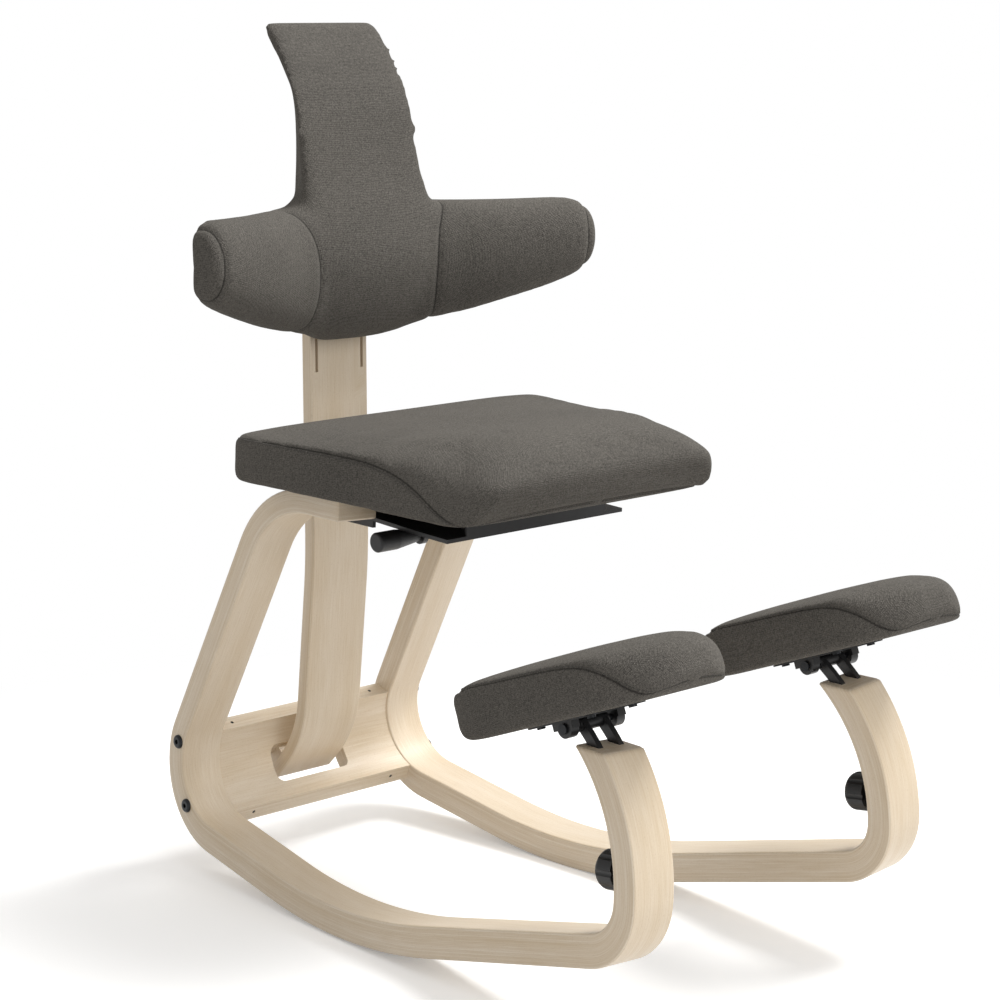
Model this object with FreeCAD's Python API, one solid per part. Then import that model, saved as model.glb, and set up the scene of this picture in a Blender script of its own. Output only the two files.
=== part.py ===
import FreeCAD, Part
import math
import os

# Kneeling chair on bent beech runners, millimetres.
# X is lateral, the sitter faces -Y, Z is up. The origin is on the floor, under the middle of the chair.

# Runner side view, outer line: corner (y, z) and the bend radius at it, from the end under the seat
SEAT_END = (105.0, 444.0)
TOP_BEND, TOP_RADIUS = (237.5, 444.0), 125.0
REAR_BEND, REAR_RADIUS = (447.7, 49.6), 91.0
ROCKER_BEND, ROCKER_RADIUS = (73.5, -13.27), 640.0
TOE_BEND, TOE_RADIUS = (-339.5, 89.5), 71.0
# Front arc: starts upright where the toe bend ends, and is cut level at its top
ARC_Y, ARC_Z, ARC_RADIUS = -139.5, 145.0, 200.0
ARC_TOP_Z = 275.0
# Laminate thickness of each stretch: under the seat, leg, rear floor, front floor, front arc
STRETCHES = (24.0, 26.0, 31.0, 32.0, 28.0)
TOP_INNER, REAR_INNER, TOE_INNER = 99.0, 62.0, 37.0
RUNNER_WIDTH = 49.0
RUNNER_REF = (-185.5, 125.0)        # outer face at floor level, x and y
SPLAY, CAMBER = 2.56, 2.80          # degrees: apart at the front, together at the top

# Cross panel between the rear bends
PANEL_THICK = 19.0
PANEL_TOP_ANGLE, PANEL_LOW_ANGLE = 23.5, -66.0
# The slot slopes down to the rear with the post; its two walls are lines of equal y + z
SLOT_HALF, SLOT_LOW, SLOT_TOP, SLOT_CORNER = 50.0, 429.0, 485.7, 9.0
BOLT_HEAD, BOLT_SHANK, BOLT_LENGTH = 15.0, 8.0, 66.0
BOLT_ANGLES = (14.0, -44.0)
BOLT_SEAT, BOLT_PROUD, SOCKET_RADIUS = 2.0, 3.2, 2.9

# Back post
POST_HALF, POST_THICK = 39.0, 15.5
POST_Y, POST_TOP = 302.5, 795.0
POST_KNEE, POST_KNEE_RADIUS = (302.5, 330.0), 600.0
POST_SWEEP, POST_SWEEP_RADIUS = (324.9, 124.5), 130.0
POST_FOOT = (377.0, 72.4)
POST_SLOT_X, POST_SLOT_WIDE, POST_SLOT_Z = 31.0, 3.6, (538.0, 778.0)

# Seat: its underside leans forward about a line over the runner ends
SEAT_PIVOT_Y, SEAT_PIVOT_Z, SEAT_TILT = 126.0, 449.0, 2.6
SEAT_BOARD_THICK = 11.0
# Cushion cross sections: y, half width, height at the side seam, height in the middle, underside
SEAT_SECTIONS = ((220, 168, 34, 38, 14), (216, 192, 42, 46, 6), (206, 203, 47, 50, 1), (188, 205, 48, 52, 0),
                 (120, 194, 48, 59, 0), (40, 182, 47, 68, 0), (0, 175, 40, 72, 0), (-30, 168, 25, 73, 0),
                 (-60, 158, 12, 71, 0), (-88, 138, 10, 66, 0), (-103, 118, 14, 56, 4),
                 (-109, 100, 22, 46, 13))

# Backrest, sections from the bottom up: z, half width in front, how much narrower behind,
# front y in the middle, front y at the edge, rear y
SPINE_SECTIONS = ((573, 30, 0, 285, 288, 296), (580, 58, 2, 262, 274, 297), (600, 80, 6, 244, 258, 297),
                  (632, 88, 14, 233, 246, 297), (665, 88, 20, 229, 240, 297), (700, 86, 22, 236, 245, 297),
                  (735, 82, 22, 248, 254, 297), (770, 78, 22, 258, 262, 297), (811, 76, 20, 268, 270, 297),
                  (838, 75, 16, 278, 279, 298.5), (868, 73, 10, 295, 296, 314), (890, 70, 4, 311, 312, 328),
                  (901, 64, 0, 320, 322, 334), (905, 52, 0, 325, 327, 334))
# Wing sections outwards: x, front y, rear y, underside, top
WING_SECTIONS = ((50, 240, 292, 583, 740), (66, 235, 292, 585, 728), (84, 229, 291, 588, 719),
                 (105, 223, 288, 592, 714), (140, 208, 272, 599, 712), (180, 192, 252, 608, 711),
                 (220, 178, 233, 618, 712), (250, 170, 219, 627, 711), (262, 170, 213, 634, 706),
                 (268, 175, 207, 642, 698))

# Knee pads: rear lower corner in side view, tilt, and sizes
PAD_X = 166.0
PAD_CORNER = (-174.0, 272.4)
PAD_TILT = 20.7
# Pad cross sections: place along the pad, half width, height at the seam, height in the middle, underside
PAD_SECTIONS = ((-23, 52, 30, 33, 16), (-18, 65, 40, 43, 7), (-6, 72, 47, 50, 1), (14, 74, 49, 54, 0),
                (80, 74, 47, 55, 0), (140, 74, 46, 55, 0), (172, 74, 41, 54, 0), (192, 73, 27, 52, 0),
                (212, 70, 11, 49, 0), (228, 63, 8, 43, 1), (238, 54, 14, 32, 9))
HINGE_RADIUS, HINGE_ANGLE = 182.0, 53.5

# Knee fork, which slides round the front arc inside the runner
PRONG_GAP, PRONG_WIDE = 12.5, 6.0
PRONG_IN, PRONG_OUT = 178.0, 188.0
PRONG_LOW_ANGLE = -4.0
POCKET_LOW_ANGLE = -7.0
KNOB_ANGLE, KNOB_RADIUS = 7.7, 19.0

CLEAR = 0.1                          # running fit, each side
V = FreeCAD.Vector


def box(x0, x1, y0, y1, z0, z1):
    return Part.makeBox(x1 - x0, y1 - y0, z1 - z0, V(x0, y0, z0))


def rod(start, end, radius):
    a, b = V(*start), V(*end)
    return Part.makeCylinder(radius, (b - a).Length, a, b - a)


def fuse(shapes):
    whole = shapes[0]
    for shape in shapes[1:]:
        whole = whole.fuse(shape)
    return whole.removeSplitter()


def cut(shape, tools):
    for tool in tools:
        shape = shape.cut(tool)
    return shape


def fillet(corner, before, after, radius):
    """Tangent points, middle point and centre of a bend between two straight runs."""
    c, a, b = (V(p[0], p[1], 0) for p in (corner, before, after))
    u, w = (a - c).normalize(), (b - c).normalize()
    half = u.getAngle(w) / 2
    reach = radius / math.tan(half)
    middle = (u + w).normalize()
    centre = c + middle * (radius / math.sin(half))
    return c + u * reach, centre - middle * radius, c + w * reach, centre


def lift(p):
    return V(0, p[0], p[1])


def chain(points, radii):
    """Edges in the YZ plane along straight runs joined by tangent arcs."""
    edges, last = [], lift(points[0])
    for i, radius in enumerate(radii, 1):
        start, middle, end, _ = fillet(points[i], points[i - 1], points[i + 1], radius)
        if (lift(start) - last).Length > 1e-6:
            edges.append(Part.LineSegment(last, lift(start)).toShape())
        edges.append(Part.Arc(lift(start), lift(middle), lift(end)).toShape())
        last = lift(end)
    if (lift(points[-1]) - last).Length > 1e-6:
        edges.append(Part.LineSegment(last, lift(points[-1])).toShape())
    return edges


def offset_line(a, b, distance):
    """The run from a to b moved sideways, to its left."""
    ay, az, by, bz = a[0], a[1], b[0], b[1]
    length = math.hypot(by - ay, bz - az)
    ny, nz = -(bz - az) / length * distance, (by - ay) / length * distance
    return (ay + ny, az + nz), (by + ny, bz + nz)


def cross(first, second):
    """Where two lines, each given by two points, meet."""
    (ay, az), (by, bz) = first
    (cy, cz), (dy, dz) = second
    t = ((cy - ay) * (dz - cz) - (cz - az) * (dy - cy)) / ((by - ay) * (dz - cz) - (bz - az) * (dy - cy))
    return ay + t * (by - ay), az + t * (bz - az)


def extrude_x(edges, x0, x1):
    face = Part.Face(Part.Wire(Part.__sortEdges__(edges)))
    solid = face.extrude(V(x1 - x0, 0, 0))
    solid.translate(V(x0, 0, 0))
    return solid


def arc_point(radius, degrees):
    """A point beside the front arc's centre; 0 degrees is straight ahead."""
    a = math.radians(degrees)
    return ARC_Y - radius * math.cos(a), ARC_Z + radius * math.sin(a)


def ring_sector(point, r_in, r_out, low, high):
    """Edges round a piece of a ring, whose places come from point(radius, degrees)."""
    mid = (low + high) / 2
    outer = [lift(point(r_out, angle)) for angle in (low, mid, high)]
    inner = [lift(point(r_in, angle)) for angle in (high, mid, low)]
    return [Part.Arc(*outer).toShape(), Part.LineSegment(outer[2], inner[0]).toShape(),
            Part.Arc(*inner).toShape(), Part.LineSegment(inner[2], outer[0]).toShape()]


def arc_sector(r_in, r_out, low, high, x0, x1):
    """A curved bar concentric with the front arc."""
    return extrude_x(ring_sector(arc_point, r_in, r_out, low, high), x0, x1)


# Flat runner: its outer face lies on X = 0 and it is RUNNER_WIDTH wide

def runner_outline():
    under, leg, rear, front, arc = STRETCHES
    toe_end = (ARC_Y - ARC_RADIUS, ARC_Z)
    outer = [SEAT_END, TOP_BEND, REAR_BEND, ROCKER_BEND, TOE_BEND, toe_end]
    edges = chain(outer, (TOP_RADIUS, REAR_RADIUS, ROCKER_RADIUS, TOE_RADIUS))
    lines = [offset_line(outer[i], outer[i + 1], -t) for i, t in enumerate((under, leg, rear, front, arc))]
    corners = [cross(lines[i], lines[i + 1]) for i in range(4)]
    inner_end = (ARC_Y - ARC_RADIUS + arc, ARC_Z)
    inner = [(SEAT_END[0], SEAT_END[1] - under)] + corners + [inner_end]
    rocker_inner = ROCKER_RADIUS - (rear + front) / 2
    edges += chain(inner, (TOP_INNER, REAR_INNER, rocker_inner, TOE_INNER))
    rise = ARC_TOP_Z - ARC_Z
    tops = []
    for radius, start in ((ARC_RADIUS, toe_end), (ARC_RADIUS - arc, inner_end)):
        high = math.degrees(math.asin(rise / radius))
        tops.append(arc_point(radius, high))
        edges.append(Part.Arc(V(0, *start), V(0, *arc_point(radius, high / 2)), V(0, *tops[-1])).toShape())
    edges.append(Part.LineSegment(V(0, *tops[0]), V(0, *tops[1])).toShape())
    edges.append(Part.LineSegment(V(0, *SEAT_END), V(0, *inner[0])).toShape())
    return edges, corners


RUNNER_EDGES, INNER_CORNERS = runner_outline()
_, _, _, BEND_CENTRE = fillet(INNER_CORNERS[1], INNER_CORNERS[0], INNER_CORNERS[2], REAR_INNER)

LEAN = FreeCAD.Placement(V(0, 0, 0), FreeCAD.Rotation(V(0, 1, 0), CAMBER))
TURN = FreeCAD.Placement(V(RUNNER_REF[0], RUNNER_REF[1], RUNNER_WIDTH * math.sin(math.radians(CAMBER))),
                         FreeCAD.Rotation(V(0, 0, 1), -SPLAY))
BACK = FreeCAD.Placement(V(0, -RUNNER_REF[1], 0), FreeCAD.Rotation())
LEFT = TURN.multiply(LEAN).multiply(BACK)


def place_left(shape):
    placed = shape.copy()
    placed.Placement = LEFT.multiply(placed.Placement)
    return placed


def mirrored(shape):
    return shape.mirror(V(0, 0, 0), V(1, 0, 0))


nodes = {}


def both_sides(name, left):
    nodes["left_" + name] = left
    nodes["right_" + name] = mirrored(left)


# Front end of the flat runner: pockets for the knee fork and its clamp
MID = RUNNER_WIDTH / 2
POCKET_TOP_ANGLE = 58.0             # past the level end


def prong(x, low, high, grow=0.0):
    half = PRONG_WIDE / 2 + grow
    return arc_sector(PRONG_IN - grow, PRONG_OUT + grow, low, high, x - half, x + half)


def radial(radius_from, radius_to, radius, x=MID, degrees=KNOB_ANGLE):
    return rod((x, *arc_point(radius_from, degrees)), (x, *arc_point(radius_to, degrees)), radius)


CLAMP_HALF_X, CLAMP_HALF_ANGLE, CLAMP_THICK = 17.0, 2.4, 3.3
PLATE_HALF_X, PLATE_HALF_ANGLE, PLATE_THICK, PLATE_PROUD = 19.5, 4.0, 3.0, 0.6
concave = ARC_RADIUS - STRETCHES[4]
clamp_in = PRONG_IN - CLEAR - CLAMP_THICK


def clamp_bar(grow=0.0):
    half_angle = CLAMP_HALF_ANGLE + math.degrees(grow / concave)
    half_x = CLAMP_HALF_X + grow
    low, high = KNOB_ANGLE - half_angle, KNOB_ANGLE + half_angle
    return arc_sector(clamp_in - grow, PRONG_IN - CLEAR + grow, low, high, MID - half_x, MID + half_x)


def insert_plate():
    face = concave - PLATE_PROUD
    return arc_sector(face, face + PLATE_THICK, KNOB_ANGLE - PLATE_HALF_ANGLE, KNOB_ANGLE + PLATE_HALF_ANGLE,
                      MID - PLATE_HALF_X, MID + PLATE_HALF_X)


STUD = 4.0
pockets = [prong(MID + side * PRONG_GAP, POCKET_LOW_ANGLE, POCKET_TOP_ANGLE, CLEAR) for side in (-1, 1)]
pockets += [clamp_bar(0.2), insert_plate()]
flat_runner = cut(extrude_x(RUNNER_EDGES, 0, RUNNER_WIDTH), pockets)

# Panel bolts: the holes run across the runner and into the panel's ends


def panel_point(radius, degrees):
    a = math.radians(degrees)
    return BEND_CENTRE.x + radius * math.cos(a), BEND_CENTRE.y + radius * math.sin(a)


mid_panel = REAR_INNER + PANEL_THICK / 2
bolt_axes = [panel_point(mid_panel, a) for a in BOLT_ANGLES]
holes = [rod((-1, y, z), (BOLT_LENGTH, y, z), BOLT_SHANK / 2) for y, z in bolt_axes]
seats = [rod((-1, y, z), (BOLT_SEAT, y, z), BOLT_HEAD / 2 + 0.2) for y, z in bolt_axes]
flat_runner = cut(flat_runner, holes + seats)
both_sides("runner", place_left(flat_runner))

# Cross panel: a bent board flush with the inside of both rear bends
inside_left = place_left(box(RUNNER_WIDTH, 400, -600, 700, -100, 700))
panel_outer = REAR_INNER + PANEL_THICK
panel_section = ring_sector(panel_point, REAR_INNER, panel_outer, PANEL_LOW_ANGLE, PANEL_TOP_ANGLE)
panel = extrude_x(panel_section, -200, 200).common(inside_left).common(mirrored(inside_left))


def sloped_block(half, sums, differences):
    """A block across X whose sides lie at 45 degrees: ranges of y + z and of y - z."""
    low, high = sums
    near, far = differences
    corners = [(low, near), (low, far), (high, far), (high, near), (low, near)]
    face = Part.Face(Part.makePolygon([V(-half, (s + d) / 2, (s - d) / 2) for s, d in corners]))
    return face.extrude(V(2 * half, 0, 0))


slot = sloped_block(SLOT_HALF, (SLOT_LOW, SLOT_TOP), (240.0, 330.0))
through_edges = [e for e in slot.Edges if e.BoundBox.XLength < 1 and e.BoundBox.YLength > 40]
slot = slot.makeFillet(SLOT_CORNER, through_edges)
bolt_holes = [place_left(rod((0, y, z), (BOLT_LENGTH, y, z), BOLT_SHANK / 2)) for y, z in bolt_axes]
bolt_holes += [mirrored(h) for h in bolt_holes]
PIN_X, PIN_RADIUS, PIN_LONG, PIN_SUNK = 98.0, 2.0, 16.0, 0.6


def edge_pin(side, degrees, start, long):
    """A pin along the panel's section, driven in from its upper or lower edge."""
    y, z = panel_point(mid_panel, degrees)
    a = math.radians(degrees)
    inward = -1 if degrees > 0 else 1
    dy, dz = -math.sin(a) * inward, math.cos(a) * inward
    return rod((side * PIN_X, y + dy * start, z + dz * start),
               (side * PIN_X, y + dy * (start + long), z + dz * (start + long)), PIN_RADIUS)


edges_at = [(side, angle) for side in (-1, 1) for angle in (PANEL_TOP_ANGLE, PANEL_LOW_ANGLE)]
pin_holes = [edge_pin(s, a, -2.0, PIN_LONG + PIN_SUNK + 2.0) for s, a in edges_at]
panel = cut(panel, [slot] + bolt_holes + pin_holes)
nodes["panel_edge_pins"] = Part.makeCompound([edge_pin(s, a, PIN_SUNK, PIN_LONG) for s, a in edges_at])


def hex_socket(y, z):
    angles = [math.radians(60 * k) for k in range(7)]
    corners = [V(-BOLT_PROUD - 0.1, y + SOCKET_RADIUS * math.cos(a), z + SOCKET_RADIUS * math.sin(a))
               for a in angles]
    return Part.Face(Part.makePolygon(corners)).extrude(V(3.0, 0, 0))


def panel_bolt(y, z):
    head = rod((-BOLT_PROUD, y, z), (BOLT_SEAT, y, z), BOLT_HEAD / 2)
    head = head.makeFillet(2.6, [e for e in head.Edges if abs(e.BoundBox.XMax + BOLT_PROUD) < 0.01])
    shank = rod((BOLT_SEAT, y, z), (BOLT_LENGTH - 4, y, z), BOLT_SHANK / 2)
    return head.cut(hex_socket(y, z)).fuse(shank).removeSplitter()


bolts = [place_left(panel_bolt(y, z)) for y, z in bolt_axes]
nodes["panel_bolts"] = Part.makeCompound(bolts + [mirrored(b) for b in bolts])

# Back post: a bent laminated board that sweeps back through the slot of the panel
post_front = [(POST_Y, POST_TOP), POST_KNEE, POST_SWEEP, POST_FOOT]
post_runs = [offset_line(post_front[i], post_front[i + 1], POST_THICK) for i in range(3)]
post_rear = [post_runs[0][0], cross(post_runs[0], post_runs[1]), cross(post_runs[1], post_runs[2]),
             post_runs[2][1]]
post_edges = chain(post_front, (POST_KNEE_RADIUS, POST_SWEEP_RADIUS))
post_edges += chain(post_rear, (POST_KNEE_RADIUS - POST_THICK, POST_SWEEP_RADIUS - POST_THICK))
for front_end, rear_end in ((post_front[0], post_rear[0]), (post_front[-1], post_rear[-1])):
    post_edges.append(Part.LineSegment(V(0, *front_end), V(0, *rear_end)).toShape())
post = extrude_x(post_edges, -POST_HALF, POST_HALF)
guides = [box(side * POST_SLOT_X - POST_SLOT_WIDE / 2, side * POST_SLOT_X + POST_SLOT_WIDE / 2,
              POST_Y - 5, POST_Y + POST_THICK + 5, *POST_SLOT_Z) for side in (-1, 1)]
post = cut(post, guides)

# Foot wedge, which fills the slot above the post, and two screws through panel, wedge and post
root2 = math.sqrt(2)
foot_front = POST_FOOT[0] + POST_FOOT[1]
foot_rear = foot_front + POST_THICK * root2
foot_end = POST_FOOT[0] - POST_FOOT[1]
WEDGE_HALF, WEDGE_START = 36.0, 264.0
SCREW_LINE, SCREW_X, SCREW_RADIUS, HEAD_RADIUS, HEAD_HIGH = 283.0, 22.0, 2.2, 4.6, 3.0
wedge = sloped_block(WEDGE_HALF, (foot_rear, SLOT_TOP), (WEDGE_START, foot_end))


def on_screw_line(x, total):
    return x, (total + SCREW_LINE) / 2, (total - SCREW_LINE) / 2


head_seat, screw_tip = SLOT_TOP + 3 * root2, foot_front + 3 * root2
screws = []
sinks = []
for x in (-SCREW_X, SCREW_X):
    shank = rod(on_screw_line(x, screw_tip), on_screw_line(x, head_seat), SCREW_RADIUS)
    head = rod(on_screw_line(x, head_seat), on_screw_line(x, head_seat + HEAD_HIGH * root2), HEAD_RADIUS)
    screws.append(shank.fuse(head).removeSplitter())
    sinks.append(rod(on_screw_line(x, head_seat), on_screw_line(x, head_seat + 30), HEAD_RADIUS + 0.3))
nodes["cross_panel"] = cut(panel, screws + sinks)
nodes["back_post"] = cut(post, screws)
nodes["post_foot_wedge"] = cut(wedge, screws)
nodes["post_foot_screws"] = Part.makeCompound(screws)

# Seat carrier: a steel tray between the runner ends, with two rails for the seat
SEAT = FreeCAD.Placement(V(0, SEAT_PIVOT_Y, SEAT_PIVOT_Z), FreeCAD.Rotation(V(1, 0, 0), SEAT_TILT)).multiply(
    FreeCAD.Placement(V(0, -SEAT_PIVOT_Y, 0), FreeCAD.Rotation()))


def place_seat(shape):
    placed = shape.copy()
    placed.Placement = SEAT.multiply(placed.Placement)
    return placed


TRAY_LOW, TRAY_THICK, TRAY_Y = -32.0, 4.0, (-8.0, 200.0)
TRAY_HALF = 120.0
FLANGE_THICK, FLANGE_Y, FLANGE_Z = 4.0, (112.0, 196.0), (416.0, 443.0)
RAIL_X, RAIL_HALF, RAIL_TOP, RAIL_WALL, RAIL_LIP = 62.0, 15.0, -3.0, 3.0, 7.0
RAIL_Y = (-2.0, 194.0)
SHOE_Y = (30.0, 160.0)
tray = place_seat(box(-TRAY_HALF, TRAY_HALF, *TRAY_Y, TRAY_LOW, TRAY_LOW + TRAY_THICK))
front_lip = place_seat(box(-95, 95, TRAY_Y[0], TRAY_Y[0] + 3, TRAY_LOW, -8))
flange_x = (RUNNER_WIDTH, RUNNER_WIDTH + FLANGE_THICK)
flange = place_left(box(*flange_x, *FLANGE_Y, *FLANGE_Z))
flange_foot = place_left(box(*flange_x, *FLANGE_Y, FLANGE_Z[0] - 6, FLANGE_Z[0]))
tray = tray.common(inside_left).common(mirrored(inside_left))
ends = [flange, flange_foot]
carrier = fuse([tray, front_lip] + ends + [mirrored(end) for end in ends])

LEVER_Y, LEVER_Z = 67.0, -42.0
BRAKE_RADIUS, CAM_RADIUS, CAM_SHIFT, LEVER_RADIUS = 8.0, 6.0, 1.0, 4.0
RIVET_YS, RIVET_RADIUS, RIVET_HEAD = (20.0, 100.0, 176.0), 2.5, 4.5
rail_floor = TRAY_LOW + TRAY_THICK + RAIL_WALL
rivets = []
for x in (-RAIL_X, RAIL_X):
    for y in RIVET_YS:
        rivet = rod((x, y, TRAY_LOW - 1.6), (x, y, TRAY_LOW), RIVET_HEAD)
        rivet = rivet.fuse(rod((x, y, TRAY_LOW), (x, y, rail_floor), RIVET_RADIUS))
        rivets.append(place_seat(rivet.removeSplitter()))
nodes["rail_rivets"] = Part.makeCompound(rivets)
brake_hole = rod((0, LEVER_Y, TRAY_LOW - 5), (0, LEVER_Y, TRAY_LOW + 10), BRAKE_RADIUS + CLEAR)
flange_screws_at = [(y, 430.0) for y in (130.0, 178.0)]


def flange_screw(y, z):
    face = RUNNER_WIDTH + FLANGE_THICK
    head = rod((face, y, z), (face + 3.2, y, z), 6.0)
    return head.fuse(rod((face - 24, y, z), (face, y, z), 2.6)).removeSplitter()


left_screws = [place_left(flange_screw(y, z)) for y, z in flange_screws_at]
carrier_screws = left_screws + [mirrored(s) for s in left_screws]
nodes["seat_carrier"] = cut(carrier, [place_seat(brake_hole)] + carrier_screws + rivets)
nodes["carrier_screws"] = Part.makeCompound(carrier_screws)
for side in ("left", "right"):
    nodes[side + "_runner"] = cut(nodes[side + "_runner"], carrier_screws)


def flat_prism(points, y0, y1):
    """A bar along Y whose section is a polygon of (x, z) points."""
    face = Part.Face(Part.makePolygon([V(x, y0, z) for x, z in points + points[:1]]))
    return face.extrude(V(0, y1 - y0, 0))


def rail(x):
    low, top, wall = TRAY_LOW + TRAY_THICK, RAIL_TOP, RAIL_WALL
    inside = RAIL_HALF - wall
    half = [(RAIL_HALF, low), (RAIL_HALF, top), (RAIL_LIP, top), (RAIL_LIP, top - wall), (inside, top - wall),
            (inside, low + wall)]
    section = [(x + a, z) for a, z in half] + [(x - a, z) for a, z in reversed(half)]
    return place_seat(flat_prism(section, *RAIL_Y))


def shoe(x):
    low, top = TRAY_LOW + TRAY_THICK + RAIL_WALL + 0.15, RAIL_TOP - RAIL_WALL - 0.15
    wide, neck = RAIL_HALF - RAIL_WALL - 0.15, RAIL_LIP - 0.3
    section = [(x - wide, low), (x + wide, low), (x + wide, top), (x + neck, top), (x + neck, 0),
               (x - neck, 0), (x - neck, top), (x - wide, top)]
    return place_seat(flat_prism(section, *SHOE_Y))


def board_screw(x, y):
    """Sunk into the top of the seat board, down into a shoe."""
    head = Part.makeCone(2.0, 4.5, 2.5, V(x, y, SEAT_BOARD_THICK - 2.5))
    return place_seat(head.fuse(rod((x, y, -10), (x, y, SEAT_BOARD_THICK - 2.5), 2.0)).removeSplitter())


seat_screws = [board_screw(x, y) for x in (-RAIL_X, RAIL_X) for y in (55.0, 135.0)]
for side, x in (("left", -RAIL_X), ("right", RAIL_X)):
    nodes[side + "_seat_rail"] = cut(rail(x), rivets)
    nodes[side + "_seat_shoe"] = cut(shoe(x), seat_screws)
nodes["seat_screws"] = Part.makeCompound(seat_screws)

# Clamp lever under the seat: two lugs on the tray carry the rod, whose cam lifts the brake
LUG_XS = (-88.0, 18.0)
LUG_HALF = 3.0
LUG_EYE = 9.0


def lever_axis(x0, x1, radius):
    return rod((x0, LEVER_Y, LEVER_Z), (x1, LEVER_Y, LEVER_Z), radius)


def lever_lug(x):
    neck = box(x - LUG_HALF, x + LUG_HALF, LEVER_Y - LUG_EYE, LEVER_Y + LUG_EYE, LEVER_Z, TRAY_LOW)
    lug = neck.fuse(lever_axis(x - LUG_HALF, x + LUG_HALF, LUG_EYE))
    return lug.cut(lever_axis(x - LUG_EYE, x + LUG_EYE, LEVER_RADIUS + 0.08)).removeSplitter()


nodes["lever_lugs"] = Part.makeCompound([place_seat(lever_lug(x)) for x in LUG_XS])
GRIP_END, GRIP_SHOULDER, GRIP_ROOT = -147.0, -122.0, -93.0
GRIP_RADIUS, GRIP_NECK = 10.0, 6.0
lever_rod = lever_axis(-130, 26, LEVER_RADIUS)
cam = rod((-7, LEVER_Y, LEVER_Z + CAM_SHIFT), (7, LEVER_Y, LEVER_Z + CAM_SHIFT), CAM_RADIUS)
nodes["lever_rod"] = place_seat(lever_rod.fuse(cam).removeSplitter())
taper = Part.makeCone(GRIP_RADIUS, GRIP_NECK, GRIP_ROOT - GRIP_SHOULDER, V(GRIP_SHOULDER, LEVER_Y, LEVER_Z),
                      V(1, 0, 0))
grip = lever_axis(GRIP_END, GRIP_SHOULDER, GRIP_RADIUS).fuse(taper)
grip = grip.makeFillet(2.5, [e for e in grip.Edges if abs(e.BoundBox.XMax - GRIP_END) < 0.01])
nodes["lever_grip"] = place_seat(grip.cut(lever_rod))
cam_top = LEVER_Z + CAM_SHIFT + CAM_RADIUS
nodes["seat_brake"] = place_seat(rod((0, LEVER_Y, cam_top + 0.3), (0, LEVER_Y, -0.15), BRAKE_RADIUS))


def soft_section(to_point, half, seam, middle, low, round_low=6.0, round_seam=10.0, narrow=0.0):
    """Closed wire of a stuffed form: flat underside, drawn-in sides, full shoulders, crowned top."""
    height, rise = seam - low, middle - seam
    rl, rs = min(round_low, height * 0.35), min(round_seam, height * 0.4)
    wide, high = min(rs + 0.8 * rise, 0.36 * half), 0.8 * rise
    c = math.sqrt(0.5)
    foot, drawn = half - narrow, half - narrow / 2 - 1.5
    rows = [(foot - rl, low), (foot - rl + rl * c, low + rl - rl * c), (foot, low + rl),
            (drawn, low + height * 0.5), (half, seam - rs),
            (half - wide + wide * c, seam - rs + (high + rs) * c), (half - wide, seam + high)]
    right = [to_point(a, b) for a, b in rows]
    left = [to_point(-a, b) for a, b in rows]
    edges = [Part.Arc(*right[i:i + 3]).toShape() for i in (0, 2, 4)]
    edges.append(Part.Arc(right[6], to_point(0, middle), left[6]).toShape())
    edges += [Part.Arc(left[i + 2], left[i + 1], left[i]).toShape() for i in (4, 2, 0)]
    return Part.Wire(edges + [Part.LineSegment(left[0], right[0]).toShape()])


def loft(wires):
    return Part.makeLoft(wires, True, False)


# Seat: plywood board let into the underside of a crowned cushion
seat_form = loft([soft_section(lambda a, b, y=y: V(a, y, b), half, seam, middle, low)
                  for y, half, seam, middle, low in SEAT_SECTIONS])
BOARD_Y, BOARD_HALF_REAR, BOARD_HALF_FRONT, BOARD_CORNER = (-62.0, 198.0), 190.0, 142.0, 30.0
front_corners = [V(x, BOARD_Y[0], 0) for x in (BOARD_HALF_FRONT, -BOARD_HALF_FRONT)]
rear_corners = [V(x, BOARD_Y[1], 0) for x in (-BOARD_HALF_REAR, BOARD_HALF_REAR)]
board_outline = rear_corners + front_corners + rear_corners[:1]
board = Part.Face(Part.makePolygon(board_outline)).extrude(V(0, 0, SEAT_BOARD_THICK))
upright = [e for e in board.Edges if e.BoundBox.ZLength > 10 and e.BoundBox.XLength < 1]
board = board.makeFillet(BOARD_CORNER, upright)
nodes["seat_board"] = cut(place_seat(board), seat_screws)
under_seat = box(-300, 300, -200, 300, -20, 0)
nodes["seat_cushion"] = place_seat(cut(seat_form, [under_seat, board]))

# Backrest: a crowned spine with two stuffed wings that wrap forward, on a plywood core


def spine_wire(z, half, narrow, front, edge, rear):
    seam = rear - edge
    return soft_section(lambda a, b: V(a, rear - b, z), half, seam, rear - front, 0.0, 5.0, 8.0, narrow)


def wing_wire(x, front, rear, low, top):
    middle, half = (low + top) / 2, (top - low) / 2
    seam = (rear - front) * 0.42
    return soft_section(lambda a, b: V(x, rear - b, middle + a), half, seam, rear - front, 0.0, 8.0, 12.0)


wing = loft([wing_wire(*section) for section in WING_SECTIONS])
back_form = fuse([loft([spine_wire(*section) for section in SPINE_SECTIONS]), wing, mirrored(wing)])
CORE_HALF, CORE_Z, CORE_THICK, BACK_REAR = 50.0, (590.0, 760.0), 9.0, 297.0
core = box(-CORE_HALF, CORE_HALF, BACK_REAR - CORE_THICK, BACK_REAR, *CORE_Z)
core = core.makeFillet(14, [e for e in core.Edges if e.BoundBox.YLength > 5])

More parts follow.
